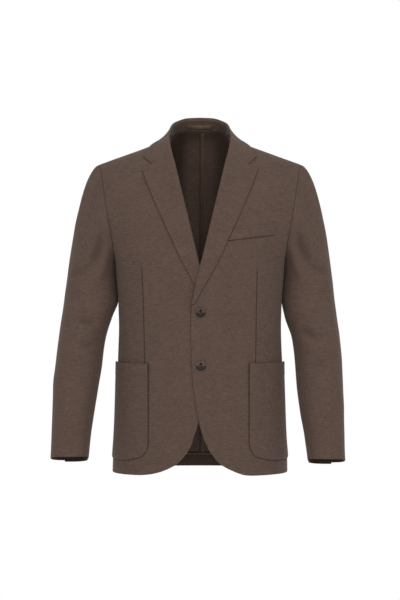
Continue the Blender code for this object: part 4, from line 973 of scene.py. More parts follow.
def make_lapel(side):
    v_rows = np.linspace(0, 1, len(LAPEL_ROWS))
    edge = EDGE[side]
    steps = np.linspace(0, 1, len(ROLL_SECTION))

    def place(u, v):
        """(x, z) on the front and height above it."""
        zl, zr = np.interp(v, v_rows, LAPEL_ROWS[:, 0]), np.interp(v, v_rows, LAPEL_ROWS[:, 1])
        inner = np.stack([smooth(zl, edge[:, 0], edge[:, 1]), zl], -1)
        outer = np.stack([smooth(zr, LAPEL_EDGE[:, 0], LAPEL_EDGE[:, 1]), zr], -1)
        across = outer - inner
        width = np.linalg.norm(across, axis=1)
        unit = across / width[:, None]
        flatten = ease((-262 - zl) / 26.0) if side < 0 else np.zeros_like(zl)
        rolled = np.minimum(32.0, 0.45 * width)
        s = np.clip(u, 0, 1)
        size = np.clip(width / 30.0, 0.25, 1) * (1 - 0.72 * flatten)
        sideways = smooth(s, steps, ROLL_SECTION[:, 0])
        rise = smooth(s, steps, ROLL_SECTION[:, 1])
        inside = np.clip(-rise, 0, None) > 0
        distance = np.where(u <= 1, np.where(s > 0.45, sideways * rolled / 32.0, sideways * (0.4 + 0.6 * size)),
                            rolled + (width - rolled) * (u - 1))
        high = np.where(rise > 0, 2.3 + (rise - 2.3) * size, rise)
        high = np.where((rise > 0) & (s < 0.45), rise * (0.45 + 0.55 * size), high)
        height = np.where(u <= 1, high, high + (LAPEL_FLAT - 0.4 * flatten - high) * ease((u - 1) * 1.4))
        m = inner + unit * distance[:, None]
        height = height + 0.8 * ease((m[:, 1] + 130) / 40.0) * ease((u - 0.3) / 0.3)
        w = ease((v - 0.86) / 0.14)[:, None]
        m = m * (1 - w) + (m + gorge_bend(np.clip(distance / width, 0, 1))) * w
        return m, height

    def point(u, v):
        m, height = place(u, v)
        p = front_face(m[:, 0], m[:, 1], side) + front_normal(m[:, 0], m[:, 1], side) * height[:, None]
        return mirror(p, side)

    roll = np.linspace(0, 1, 34)
    leaf = 1 + stations(66.0, 2.6, (False, True))[1:]
    us = np.concatenate([roll, leaf])
    length = np.abs(np.diff(LAPEL_ROWS, axis=0)).max(axis=1)
    total = np.concatenate([[0], np.cumsum(length)])
    wanted = np.unique(np.concatenate([np.linspace(0, total[-1], 150), total[-1] - np.array([0.5, 1.1, 1.9, 3.0])]))
    vs = np.interp(wanted, total, v_rows)
    p = grid_of(point, us, vs)
    u, v = np.meshgrid(us, vs)
    m, _ = place(u.ravel(), v.ravel())
    # the facing's warp runs as the front edge does, so it mirrors in the roll line
    warp = np.array([0.4616, 0.8872])
    weft = np.array([0.8872, -0.4616])
    uv = np.stack([m @ weft * side + 700, m @ warp + 300], -1).reshape(len(vs), len(us), 2)

    def relief(q, n):
        free = ease((u - 1.0) / 0.5)
        return trunk_relief(q, n) * 0.5 * free + 0.25 * undulation(q, 30.0, 2.2) * free

    name = "lapel_left" if side > 0 else "lapel_right"
    return cloth(name + "_cloth", p, 1.35, lapel_away(side), {"left": None, "right": "fold", "bottom": None, "top": "soft"},
                 relief, uv, FACING, name)


def lapel_away(side):
    return lambda p: p + np.array([0, 30.0, 0])


# Section of the collar: out from the fold, up from it, and share of the way to the edge.
COLLAR_SECTION = np.array([(0.1, -9.0, 0), (-0.2, -6.0, 0), (0.0, -3.2, 0), (0.5, -1.1, 0), (1.8, 0.0, 0), (3.6, -1.0, 0),
                           (4.9, -4.0, 0.04), (5.0, -4.6, 0.2), (4.0, -3.0, 0.42), (2.6, -1.2, 0.64), (1.0, 0.0, 0.84),
                           (0, 0, 1)], float)
COLLAR_K = np.array([-1.6, -0.8, 0, 1, 2, 3, 4, 5, 6, 7, 8, 9.0])


def collar_parts():
    steps = np.linspace(0, 1, len(FOLD))

    def fold(t):
        return np.stack([smooth(t, steps, FOLD[:, i]) for i in range(3)], -1)

    def edge(t):
        x = smooth(t, steps, LEAF_EDGE[:, 0])
        y = smooth(t, steps, LEAF_EDGE[:, 1])
        return np.stack([x, y, top_height(x, y)], -1)

    return steps, fold, edge


def clear_of_trunk(p, least):
    x = np.abs(p[:, 0])
    for _ in range(3):
        z = top_height(x, p[:, 1])
        ahead = p[:, 1] < section(z)[5]
        angle = np.where(ahead, angle_at(x, z), angle_at(x, z, True))
        n = trunk_normal(np.clip(angle, 0.004, PI - 0.004), z - 0.3)
        off = (p[:, 2] - z) * n[:, 2]
        push = np.clip(least - off, 0, 8)[:, None] * n
        p = p + push * np.stack([np.sign(p[:, 0]), np.ones(len(p)), np.ones(len(p))], 1)
        x = np.abs(p[:, 0])
    return p


def make_collar():
    steps, fold, edge = collar_parts()
    tip = np.array((LAPEL_EDGE[-1, 1], LAPEL_EDGE[-1, 0]))
    gorge_length = float(np.linalg.norm(np.array(NOTCH) - np.array(ROLL_TOP)))
    scale = gorge_length / (32 + (np.linalg.norm(tip - np.array(ROLL_TOP)) - 32) * GORGE_SHARE)
    roll = np.linspace(0, 1, len(ROLL_SECTION))
    # the same roll as the lapel's, so the two meet at the gorge
    gorge_k = np.array([-1.6, -0.8, 0, 0.6, 1.2, 2.0, 2.8, 3.4, 3.9, 4.3, 4.65, 5.0, 6, 7, 8, 9])
    reach_out = np.concatenate([ROLL_SECTION[:, 0] * scale, [gorge_length - 11.5 * scale, gorge_length, gorge_length + 11, gorge_length + 24.3]])
    stand_off = np.concatenate([ROLL_SECTION[:, 1], [3.0, 2.9, 2.9, 2.9]])
    stand_off = stand_off + 0.8 * ease((gorge_k - 1.2) / 2.0)

    def gorge(k):
        a, b, c = np.array(ROLL_TOP), np.array(NOTCH), np.array(COLLAR_TIP)
        far = smooth(k, gorge_k, reach_out)[:, None]
        first = a + (b - a) * far / gorge_length
        second = b + (c - b) * (far - gorge_length) / 24.3
        m = np.where(far <= gorge_length, first, second)
        m[:, 1] += 0.25
        return m

    def leaf(k, v):
        t, side = np.abs(v), np.where(v < 0, -1.0, 1.0)
        top, end = fold(t), edge(t)
        away = end - top
        away[:, 2] = 0
        away /= np.linalg.norm(away, axis=1, keepdims=True)
        up = np.array([0, 0, 1.0])
        end = end + up * 3.4 + away * 2.2
        z_edge = 4.0 + (ROLL_TOP[1] - 4.0) * np.clip((t - 0.8) / 0.2, 0, 1)
        x_edge = smooth(z_edge, EDGE[1][:, 0], EDGE[1][:, 1])
        on_edge = front_face(x_edge, z_edge, -1) + front_normal(x_edge, z_edge, -1) * 0.1
        out, rise, share = [smooth(k, COLLAR_K, COLLAR_SECTION[:, i])[:, None] for i in range(3)]
        w = ease((t - 0.70) / 0.08)[:, None] * (1 - ease(k / 3.0))[:, None]
        p = top + (end - top) * share + away * out + up * rise
        p = p * (1 - w) + (on_edge + away * out + up * (rise + 3.6)) * w
        m = gorge(k)
        h = smooth(k, gorge_k, stand_off)[:, None]
        q = front_face(m[:, 0], m[:, 1], -1) + front_normal(m[:, 0], m[:, 1], -1) * h
        w = ease((t - 0.82) / 0.18)[:, None]
        p = p * (1 - w) + q * w
        least = np.clip(0.55 + 3.0 * (k - 1.2) / 1.6, 0.55, 3.3)
        cleared = clear_of_trunk(p, least)
        p = np.where(((t < 0.999) & (k > 0.8))[:, None], cleared, p)
        p[:, 0] = np.abs(p[:, 0]) * side * (t > 1e-9)
        return p

    ks = np.concatenate([np.linspace(-1.6, 5, 44), np.linspace(5, 9, 26)[1:-1], [8.9, 8.95, 9.0]])
    half = np.unique(np.concatenate([np.linspace(0, 1, 72), [0.996, 0.99, 0.982]]))
    vs = np.concatenate([-half[::-1], half[1:]])
    p = grid_of(leaf, ks, vs)
    d = edge_distances(p)
    uv = np.stack([d["bottom"] - d["bottom"][-1:] / 2 + 60, d["left"]], -1)

    def relief(q, n):
        free = ease((np.meshgrid(ks, vs)[0] - 4) / 2.0)
        return 0.3 * undulation(q, 26.0, 4.0) * free

    cloth("collar_leaf_cloth", p, 1.35, lambda q: np.stack([q[..., 0] * 0, q[..., 1] * 0, q[..., 2] * 0 - 60], -1),
          {"left": "soft", "right": "edge", "bottom": "soft", "top": "soft"}, relief, uv, FACING, "collar_leaf")

    neck_x = np.array([0, 25, 47, 59.5, 67.3, 66.4, 65.2, 64.2])
    neck_z = np.array([31.5, 31.3, 28.6, 22.4, 14.3, 9.0, 1.5, -8.0])

    def neck(t):
        x, z = smooth(t, steps, neck_x), smooth(t, steps, neck_z)
        on_back = trunk(angle_at(x, z, True), z)
        on_front = trunk(angle_at(x, z), z)
        w = ease((t - 0.50) / 0.14)[:, None]
        return on_back * (1 - w) + on_front * w

    def stand(u, v):
        t, side = np.abs(v), np.where(v < 0, -1.0, 1.0)
        low, top = neck(t), fold(t)
        inside = -low * np.array([1, 1, 0])
        inside /= np.maximum(np.linalg.norm(inside, axis=1, keepdims=True), 1e-9)
        low = low + inside * (2.6 + 1.6 * ease((t - 0.55) / 0.2))[:, None] - np.array([0, 0, 1.5])
        top = top + inside * 0.4 - np.array([0, 0, 8.4])
        p = low + (top - low) * u[:, None]
        p[:, 0] = np.abs(p[:, 0]) * side * (t > 1e-9)
        return p

    half = np.linspace(0, 0.76, 64)
    vs = np.concatenate([-half[::-1], half[1:]])
    us = stations(26.0, 2.6)
    p = grid_of(stand, us, vs)
    hollow = lambda q: np.stack([q[..., 0] * 0, q[..., 1] * 0 - 10, q[..., 2]], -1)
    d = edge_distances(p)
    # the stand's cloth is a darkened copy of the linen: painted shade
    cloth("collar_stand_cloth", p, 1.5, hollow, {"left": "seam", "right": "seam", "bottom": None, "top": None},
          lambda q, n: 0.25 * undulation(q, 22.0, 5.0), np.stack([d["bottom"], d["left"]], -1), INNER_SHADED,
          "collar_stand", inward=True)

    def loop(u, v):
        x = v * LOOP_HALF
        p = stand(u, v * 0.205)
        z = LOOP_LOW + (LOOP_TOP - LOOP_LOW) * u
        inside = -p * np.array([1, 1, 0])
        inside /= np.linalg.norm(inside, axis=1, keepdims=True)
        end = ease((1 - np.abs(v)) / 0.10)
        sag = -1.1 * (1 - v ** 2)
        p[:, 0] = x
        p[:, 2] = z - sag
        return p + inside * (0.6 + 2.4 * end)[:, None]

    us = np.linspace(0, 1, 9)
    vs = np.unique(np.concatenate([np.linspace(-1, 1, 49), [-0.985, -0.97, 0.97, 0.985]]))
    p = grid_of(loop, us, vs)
    d = edge_distances(p)
    cloth("hanger_loop_tape", p, 0.9, hollow, {"left": "edge", "right": "edge", "bottom": None, "top": None}, None,
          np.stack([d["bottom"], d["left"]], -1), TAPE, "hanger_loop", inward=True)


# ---------------------------------------------------------------- sleeves
def make_sleeve(side):
    ring = armhole_ring()
    start = trunk(ring[:, 0], ring[:, 1])
    count = len(ring)
    normal = trunk_normal(ring[:, 0], ring[:, 1])
    normal[0] = normal[1] * np.array([1, 0, 1])
    normal[0] /= np.linalg.norm(normal[0])
    step = np.roll(start, -1, 0) - np.roll(start, 1, 0)
    out = np.cross(step, normal)
    out /= np.linalg.norm(out, axis=1, keepdims=True)
    middle = start.mean(0)
    toward = np.sign(np.sum(out * (middle + np.array([25, 0, 0]) - start), axis=1))
    out *= np.where(toward == 0, 1, toward)[:, None]
    out[0] = (np.cos(np.arctan(SLOPE)), 0, -np.sin(np.arctan(SLOPE)))
    bottom = len(ARM_Z) - 1
    lengths = np.linalg.norm(np.roll(start, -1, 0) - start, axis=1)
    turn = np.zeros(count + 1)
    front_total, back_total = lengths[:bottom].sum(), lengths[bottom:].sum()
    for k in range(1, count + 1):
        turn[k] = turn[k - 1] + lengths[k - 1] * (PI / front_total if k <= bottom else PI / back_total)

    # the armhole as one smooth closed line, by its length
    q_dense = np.linspace(0, count, 24 * 60 + 1)
    arm = np.array(ARM_Z)
    index = np.arange(len(arm))
    z_dense = np.where(q_dense <= bottom, smooth(q_dense, index, arm), smooth(count - q_dense, index, arm))
    a_dense = np.where(q_dense <= bottom, armhole_angle(z_dense), armhole_angle(z_dense, True))
    start_dense = trunk(a_dense, z_dense)
    start_dense[0] = start_dense[-1] = (start_dense[1] + start_dense[-2]) / 2
    run = np.concatenate([[0], np.cumsum(np.linalg.norm(np.diff(start_dense, axis=0), axis=1))])

    def periodic(values, q):
        """Smooth closed curve through the ring's values."""
        values = np.asarray(values, float)
        k = np.floor(q).astype(int)
        f = (q - k)[:, None]
        a, b, c, d = [values[(k + i) % count] for i in (-1, 0, 1, 2)]
        return 0.5 * ((2 * b) + (c - a) * f + (2 * a - 5 * b + 4 * c - d) * f ** 2 + (3 * b - a - 3 * c + d) * f ** 3)

    out_dense = periodic(out, np.minimum(q_dense, count - 1e-9))
    out_dense[-1] = out_dense[0]
    # even out the small steps at the shoulder
    for _ in range(40):
        out_dense[1:-1] = (out_dense[:-2] + 2 * out_dense[1:-1] + out_dense[2:]) / 4
        end = (out_dense[1] + out_dense[-2] + 2 * out_dense[0]) / 4
        out_dense[0] = out_dense[-1] = end
    out_dense /= np.linalg.norm(out_dense, axis=1, keepdims=True)
    turn_dense = smooth(q_dense, np.arange(count + 1), turn)
    table = SLEEVE[side]
    top_z = table[0, 0]

    def hoop(phi, z):
        outer, inner, mid, deep, slope = [smooth(z, table[:, 0], table[:, i]) for i in (1, 2, 3, 4, 5)]
        c, s = np.cos(phi), np.sin(phi)
        square = 2.15
        r = (np.abs(c) ** square + np.abs(s) ** square) ** (-1 / square)
        y = mid - deep * r * s
        # the hem of the cuff hangs level in front and a little higher behind
        level = np.where(c > 0, 5.0, 6.8) * c * c + np.where(s > 0, 2.4, 7.2) * s * s
        raised = ease((-560.0 - z) / 100.0) * level
        return np.stack([(outer + inner) / 2 + (outer - inner) / 2 * r * c, y, z - slope * (y - mid) + raised], -1)

    def pick(values, q):
        q = np.mod(q, count)
        return np.stack([np.interp(q, q_dense, values[:, i]) for i in range(3)], -1)

    def line(q, v):
        a = pick(start_dense, q)
        o = pick(out_dense, q)
        a = a + o * 0.1
        phi = np.interp(np.mod(q, count), q_dense, turn_dense)
        z1 = np.full(len(q), top_z)
        b = hoop(phi, z1)
        down = hoop(phi, z1 - 8) - b
        down /= np.linalg.norm(down, axis=1, keepdims=True)
        crown = (1 + np.cos(phi)) / 2
        w = crown ** 3
        cross = np.array([1.0, 0, -0.25])
        leave = o * (8 + 14 * np.sin(phi) ** 2 + 122 * w)[:, None] + cross * ((9 - 8 * (1 - crown) ** 8 + 30 * np.sin(phi) ** 2) * (1 - w))[:, None]
        arrive = down * (30 + 130 * crown)[:, None]
        t = np.clip(v, 0, 1)[:, None]
        cap = ((1 + 2 * t) * (1 - t) ** 2 * a + t * (1 - t) ** 2 * leave + t * t * (3 - 2 * t) * b + t * t * (t - 1) * arrive)
        z = top_z + (table[-1, 0] - top_z) * np.clip(v - 1, 0, 1)
        return np.where(v[:, None] <= 1, cap, hoop(phi, z))

    def centre(p):
        z = np.clip(p[..., 2], table[-1, 0], top_z)
        x = (smooth(z, table[:, 0], table[:, 1]) + smooth(z, table[:, 0], table[:, 2])) / 2
        x = x - 0.22 * np.clip(p[..., 2] - top_z, 0, None)
        return np.stack([side * x, smooth(z, table[:, 0], table[:, 3]), p[..., 2] - 40 * (p[..., 2] > -120)], -1)

    # rows: close together at the armhole and at the cuff
    cap_rows = np.concatenate([[0, 0.002, 0.005, 0.009, 0.014, 0.022], np.linspace(0.034, 1, 46)])
    free_rows = 1 + np.concatenate([np.linspace(0, 1, 112)[1:-2], 1 - np.array([2.6, 1.6, 0.9, 0.4, 0]) / 390.0])
    vs = np.concatenate([cap_rows, free_rows])

    def piece(name, first, last, drop):
        q0, q1 = first + 0.5, last + 0.5
        r0, r1 = [np.interp(q % count, q_dense, run) + run[-1] * (q // count) for q in (q0, q1)]
        length = r1 - r0
        share = stations(length, 4.2)
        # columns even by armhole length, and mixed with the ring's own division lower down
        runs = r0 + share * length
        base = run[-1] * np.floor(runs / run[-1])
        q_cols = np.interp(runs - base, run, q_dense) + count * np.floor(runs / run[-1])

        def point(u, v):
            q = np.interp(u, share, q_cols)
            p = line(q, v)
            if drop:
                fall = ease((v - 1.9) / 0.1) * ease((q - last + 4.0) / 0.5)
                p[:, 2] -= VENT_STEP * fall
            return mirror(p, side)

        p = grid_of(point, share, vs)

        def relief(q, n):
            own = q[..., 0] * side
            ahead = ease((-n[..., 1] - 0.0) / 0.5)
            behind = ease((n[..., 1] - 0.0) / 0.5)
            h = 1.7 * creases(own, q[..., 2], SLEEVE_FRONT[side]) * ahead + 1.4 * creases(own, q[..., 2], SLEEVE_BACK) * behind
            hold = ease((np.meshgrid(share, vs)[1]) / 0.12)
            cuff = ease((-670 - q[..., 2]) / 30.0)
            return (h * (1 - 0.8 * cuff) + 0.35 * undulation(q, 30.0, 1.3 + side)) * hold

        phi = np.interp(np.mod(q_cols, count), q_dense, turn_dense) + 2 * PI * np.floor(q_cols / count)
        # the weft runs level round the arm: one height for each row
        fall = np.linalg.norm(np.diff(p, axis=0), axis=-1).mean(1)
        height = np.concatenate([[0], np.cumsum(fall)])
        uv = np.stack([np.tile(phi * 62.0, (len(vs), 1)), np.tile(height[:, None], (1, len(share)))], -1)
        # the deep creases darkened in colour (painted shade), and the inside of the sleeve in a darkened copy of the
        # linen (painted shade)
        return cloth(name + "_cloth", p, 1.6, centre, {"left": "soft", "right": "soft", "bottom": "seam", "top": "edge"},
                     relief, uv, LINEN, name, painted_wrong_side=SHADED, trough=0.42)

    hind = count - HINDARM - 1
    tag = "left" if side > 0 else "right"
    piece("top_sleeve_" + tag, hind, count + FOREARM, False)
    piece("under_sleeve_" + tag, FOREARM, hind, True)


# ---------------------------------------------------------------- pockets and welt
def make_pocket(side):
    inner, r = POCKET_INNER[side], POCKET_CORNER
    back = np.radians(POCKET_BACK)
    turn = r * (1 - np.sqrt(0.5))

    def left(v):
        z = POCKET_BOTTOM + turn + (POCKET_TOP - POCKET_BOTTOM - turn) * v
        rise = np.clip((POCKET_BOTTOM + r - z) / r, 0, 1)
        x = inner + r * (1 - np.sqrt(1 - rise ** 2))
        return np.stack([angle_at(x, z), z], -1)

    def right(v):
        z = POCKET_BOTTOM + turn + (POCKET_TOP - POCKET_BOTTOM - turn) * v
        rise = np.clip((POCKET_BOTTOM + r - z) / r, 0, 1)
        return np.stack([back - 0.25 * (1 - np.sqrt(1 - rise ** 2)), z], -1)

    def bottom(u):
        start, end = left(np.zeros_like(u)), right(np.zeros_like(u))
        z = POCKET_BOTTOM + turn * np.abs(2 * u - 1) ** 3.2
        return np.stack([start[:, 0] + (end[:, 0] - start[:, 0]) * u, z], -1)

    flat = ruled(left, right, bottom, None)

    def point(u, v):
        m = flat(u, v)
        h = 2.5 + 2.1 * v ** 2
        return mirror(trunk(m[:, 0], m[:, 1]) + trunk_normal(m[:, 0], m[:, 1]) * h[:, None], side)

    us = stations(150.0, 3.0)
    vs = np.unique(np.concatenate([np.linspace(0, 1, 66), [0.002, 0.0045, 0.008, 0.013, 0.987, 0.992, 0.996]]))
    p = grid_of(point, us, vs)
    u, v = np.meshgrid(us, vs)
    m = flat(u.ravel(), v.ravel()).reshape(len(vs), len(us), 2)
    mouth = edge_distances(p)["top"]

    def relief(q, n):
        soft = creases(q[..., 0] * side, q[..., 2], POCKET_CREASES) * ease(mouth / 20.0)
        # the turned-in hem of the mouth
        hem = 0.45 * ease((30 - mouth) / 1.6) - 0.25 * np.exp(-((mouth - 30.5) / 1.2) ** 2)
        return trunk_relief(q, n) * 0.8 + soft + hem * 0.8

    name = "patch_pocket_left" if side > 0 else "patch_pocket_right"
    cloth(name + "_cloth", p, 1.3, trunk_axis, {"left": "sewn", "right": "sewn", "bottom": "sewn", "top": "edge"},
          relief, trunk_grain(p, m[..., 0] * side) + np.array([37.0, 11.0]), LINEN, name)


POCKET_CREASES = np.array([
    (112, -520, 170, -508, 10, -0.8), (118, -566, 176, -560, 12, 0.7), (110, -612, 170, -622, 12, -0.8),
    (124, -650, 178, -648, 10, 0.6),
], float)


def make_welt():
    a, b, c, d = [np.array(WELT[k]) for k in ("low_inner", "low_outer", "top_outer", "top_inner")]

    def point(u, v):
        s, t = u[:, None], v[:, None]
        m = (a + (b - a) * s) * (1 - t) + (d + (c - d) * s) * t
        high = 2.5 - 1.0 * v
        return front_face(m[:, 0], m[:, 1], 1) + front_normal(m[:, 0], m[:, 1], 1) * high[:, None]

    us, vs = stations(98.0, 2.4), stations(27.0, 2.2)
    p = grid_of(point, us, vs)
    uv = np.stack([p[..., 0] + 400, p[..., 2] + 900], -1)
    cloth("breast_welt_cloth", p, 1.3, trunk_axis, {"left": None, "right": "seam", "bottom": "sewn", "top": None},
          trunk_relief, uv, LINEN, "breast_welt")


# ---------------------------------------------------------------- tapes and hem, inside
def make_tapes():
    hollow = lambda q: np.stack([q[..., 0] * 0, q[..., 1] * 0 - 10, q[..., 2]], -1)

    def inside(angle, z, depth):
        back = np.where(angle > PI, 2 * PI - angle, angle)
        flip = np.where(angle > PI, -1.0, 1.0)[:, None] * np.array([1, 0, 0]) + np.array([0, 1, 1])
        return (trunk(back, z) - trunk_normal(np.minimum(back, PI - 1e-3), z) * depth) * flip

    def seam_tape(u, v):
        z = SEAM_TAPE[0, 0] + (SEAM_TAPE[-1, 0] - SEAM_TAPE[0, 0]) * v
        x0, x1 = smooth(z, SEAM_TAPE[:, 0], SEAM_TAPE[:, 1]), smooth(z, SEAM_TAPE[:, 0], SEAM_TAPE[:, 2])
        x = x0 + (x1 - x0) * u
        angle = angle_at(x, z, True)
        return trunk(angle, z) - trunk_normal(angle, z) * 3.4

    us = np.linspace(0, 1, 7)
    vs = np.unique(np.concatenate([np.linspace(0, 1, 180), [0.002, 0.998]]))
    p = grid_of(seam_tape, us, vs)
    d = edge_distances(p)
    cloth("back_seam_tape", p, 0.9, hollow, {"left": "edge", "right": "edge", "bottom": "edge", "top": None},
          lambda q, n: 0.15 * undulation(q, 9.0, 3.0), np.stack([d["bottom"], d["left"]], -1), TAPE,
          "back_seam_binding", inward=True)

    half = np.radians(TURNUP_HALF)
    angles = PI + half * np.linspace(-1, 1, 110)

    def turnup(u, v):
        return inside(v, HEM_Z + TURNUP * u, 4.2)

    p = grid_of(turnup, stations(25.0, 2.6, (True, True)), angles)
    d = edge_distances(p)
    # the turn-up's cloth is a darkened copy of the linen: painted shade
    cloth("hem_turnup_cloth", p, 1.2, hollow, {"left": "edge", "right": "soft", "bottom": None, "top": None},
          lambda q, n: 0.2 * undulation(q, 20.0, 6.0), np.stack([d["bottom"], d["left"]], -1), INNER_SHADED, "hem_turnup", inward=True)

    def hem_tape(u, v):
        return inside(v, HEM_Z + TURNUP + 0.1 + HEM_TAPE * u, 4.3)

    p = grid_of(hem_tape, np.linspace(0, 1, 6), angles)
    d = edge_distances(p)
    cloth("hem_tape", p, 0.9, hollow, {"left": "edge", "right": "edge", "bottom": None, "top": None}, None,
          np.stack([d["bottom"], d["left"]], -1), TAPE, "hem_binding", inward=True)


# ---------------------------------------------------------------- buttons and thread
def bars(name, ends, radius, skin, sides=7):
    """Short round-ended threads from one point to another, joined in one mesh."""
    verts, faces = [], []
    ring = np.linspace(0, 2 * PI, sides, endpoint=False)
    for a, b in ends:
        a, b = np.asarray(a, float), np.asarray(b, float)
        axis = (b - a) / max(np.linalg.norm(b - a), 1e-6)
        side = np.cross(axis, (0, 1, 0) if abs(axis[1]) < 0.8 else (1, 0, 0))
        side /= np.linalg.norm(side)
        other = np.cross(axis, side)
        base = len(verts)
        layers = ((0, 0.35), (0.12, 0.8), (0.3, 1.0), (0.7, 1.0), (0.88, 0.8), (1.0, 0.35))
        for share, size in layers:
            c = a + (b - a) * share
            for t in ring:
                verts.append((c + (side * np.cos(t) + other * np.sin(t)) * radius * size) * MM)
        for i in range(len(layers) - 1):
            for j in range(sides):
                k = (j + 1) % sides
                faces.append((base + i * sides + j, base + i * sides + k, base + (i + 1) * sides + k, base + (i + 1) * sides + j))
        faces.append(tuple(base + j for j in reversed(range(sides))))
        faces.append(tuple(base + (len(layers) - 1) * sides + j for j in range(sides)))
    mesh = bpy.data.meshes.new(name)
    mesh.from_pydata([tuple(v) for v in verts], [], faces)
    mesh.update()
    mesh.shade_smooth()
    mesh.materials.append(skin)
    piece = bpy.data.objects.new(name, mesh)
    bpy.context.scene.collection.objects.link(piece)
    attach(piece, "root")
    return piece


def make_button(name, x, z):
    """Four-hole button: domed rim, dished middle and real holes."""
    face = front_face(np.array([x]), np.array([z]), 1)[0]
    normal = front_normal(np.array([x]), np.array([z]), 1)[0]
    right = np.array([1.0, 0, 0]) - normal * normal[0]
    right /= np.linalg.norm(right)
    up = np.cross(normal, right)
    if up[2] < 0:
        up = -up
    base = face + normal * 0.9
    profile = np.array([(0.0, 2.35), (2.2, 2.3), (3.6, 2.45), (4.6, 3.05), (5.6, 3.65), (6.6, 3.95), (7.8, 3.98), (8.9, 3.75),
                        (9.7, 3.2), (10.2, 2.5), (10.3, 2.0), (10.1, 1.4), (9.3, 0.9), (7.0, 0.35), (4.0, 0.1), (0.0, 0.0)])
    top_r = np.concatenate([np.arange(0.25, 4.2, 0.22), np.linspace(4.3, 10.3, 22)])
    rim = profile[:11]
    top_h = smooth(top_r, rim[:, 0], rim[:, 1])
    segments = 96
    ang = np.linspace(0, 2 * PI, segments, endpoint=False)
    rings = []
    holes = [(1.45, 1.45), (-1.45, 1.45), (-1.45, -1.45), (1.45, -1.45)]
    for r, h in zip(top_r, top_h):
        px, py = r * np.cos(ang), r * np.sin(ang)
        deep = np.zeros(segments)
        for hx, hy in holes:
            dist = np.hypot(px - hx, py - hy)
            deep = np.maximum(deep, 1.5 * ease((0.98 - dist) / 0.3))
        rings.append(np.stack([px, py, h - deep], 1))
    for r, h in profile[11:-1]:
        rings.append(np.stack([r * np.cos(ang), r * np.sin(ang), np.full(segments, h)], 1))
    local = np.concatenate([[[0, 0, top_h[0]]]] + rings + [[[0, 0, 0.0]]])
    world = base + local[:, :1] * right + local[:, 1:2] * up + local[:, 2:3] * normal
    faces = []
    for j in range(segments):
        faces.append((0, 1 + j, 1 + (j + 1) % segments))
    for i in range(len(rings) - 1):
        for j in range(segments):
            k = (j + 1) % segments
            faces.append((1 + i * segments + j, 1 + (i + 1) * segments + j, 1 + (i + 1) * segments + k, 1 + i * segments + k))
    last = len(local) - 1
    tail = 1 + (len(rings) - 1) * segments
    for j in range(segments):
        faces.append((last, tail + (j + 1) % segments, tail + j))
    mesh = bpy.data.meshes.new(name + "_horn")
    mesh.from_pydata([tuple(v * MM) for v in world], [], faces)
    mesh.update()
    mesh.shade_smooth()
    lx, ly = local[:, 0], local[:, 1]
    # painted shade on the button: its lower rim, dished middle and a mark at the top of the rim are darkened in colour
    low_rim_shade = ease((0.17 * np.abs(lx) - 1.6 - ly) / 1.4)
    middle = ease((1.15 - (lx / 3.0) ** 2 - ((ly - 2.2) / 4.8) ** 2) / 0.5)
    notch = 0.7 * ease((1.1 - (lx / 2.8) ** 2 - ((ly - 8.8) / 1.0) ** 2) / 0.5)
    tone = mesh.attributes.new("horn_painted_shade", "FLOAT", "POINT")
    tone.data.foreach_set("value", np.maximum(np.maximum(low_rim_shade, middle), notch).astype(np.float32) * 0.96)
    mesh.materials.append(HORN)
    piece = bpy.data.objects.new(name + "_horn", mesh)
    bpy.context.scene.collection.objects.link(piece)
    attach(piece, "root")
    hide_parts(name)

    def at(a, b, c):
        return base + right * a + up * b + normal * c

    threads = []
    for hx in (-1.45, 1.45):
        for off in (-0.32, 0.0, 0.32):
            threads.append((at(hx + off, -1.5, 1.7), at(hx + off, -1.1, 2.75)))
            threads.append((at(hx + off, -1.2, 2.7), at(hx + off, 1.2, 2.7)))
            threads.append((at(hx + off, 1.1, 2.75), at(hx + off, 1.5, 1.7)))
    shank = [(at(0.9 * np.cos(a), 0.9 * np.sin(a), -0.9), at(0.9 * np.cos(a), 0.9 * np.sin(a), 0.5)) for a in np.linspace(0, 2 * PI, 8, endpoint=False)]
    bars(name + "_thread", threads + shank, 0.24, DARK_THREAD)


def make_buttonhole(name, start, end, height, width, skin, place):
    """Worked buttonhole: a slit with close stitches over both its edges and a bar at the end."""
    a, b = np.array(start, float), np.array(end, float)
    d = b - a
    length = np.linalg.norm(d)
    d /= length
    across = np.array([-d[1], d[0]])
    ends = []
    for s in np.arange(0, length, 0.62):
        for sign in (-1, 1):
            m0, m1 = a + d * s + across * sign * 0.22, a + d * (s + 0.14) + across * sign * width
            p0, n0 = place(m0)
            p1, n1 = place(m1)
            ends.append((p0 + n0 * (height + 0.25), p1 + n1 * (height - 0.10)))
    for s in np.linspace(-width, width, 6):
        m0, m1 = b + across * s + d * -0.2, b + across * s + d * 1.3
        (p0, n0), (p1, n1) = place(m0), place(m1)
        ends.append((p0 + n0 * (height + 0.2), p1 + n1 * (height - 0.05)))
    bars(name, ends, 0.27, skin, 6)


def grid_place(name, side=1):
    """Point and normal of a made cloth's face at a given front view x, z (side's own x)."""
    face, normal = MADE[name]["face"].reshape(-1, 3), MADE[name]["normal"].reshape(-1, 3)
    near = face[:, 1] < 30

    def at(m):
        d = (face[:, 0] * side - m[0]) ** 2 + (face[:, 2] - m[1]) ** 2 + np.where(near, 0, 1e6)
        k = np.argpartition(d, 6)[:6]
        k = k[normal[k, 1] < 0] if np.any(normal[k, 1] < 0) else k
        w = 1 / (d[k] + 0.05)
        w /= w.sum()
        n = (normal[k] * w[:, None]).sum(0)
        n /= np.linalg.norm(n)
        q = (face[k] * w[:, None]).sum(0)
        # slide to the wanted x, z within the face's plane
        target = np.array([m[0] * side, q[1], m[1]])
        shift = target - q
        shift[1] = -(n[0] * shift[0] + n[2] * shift[2]) / n[1]
        return q + shift, n
    return at


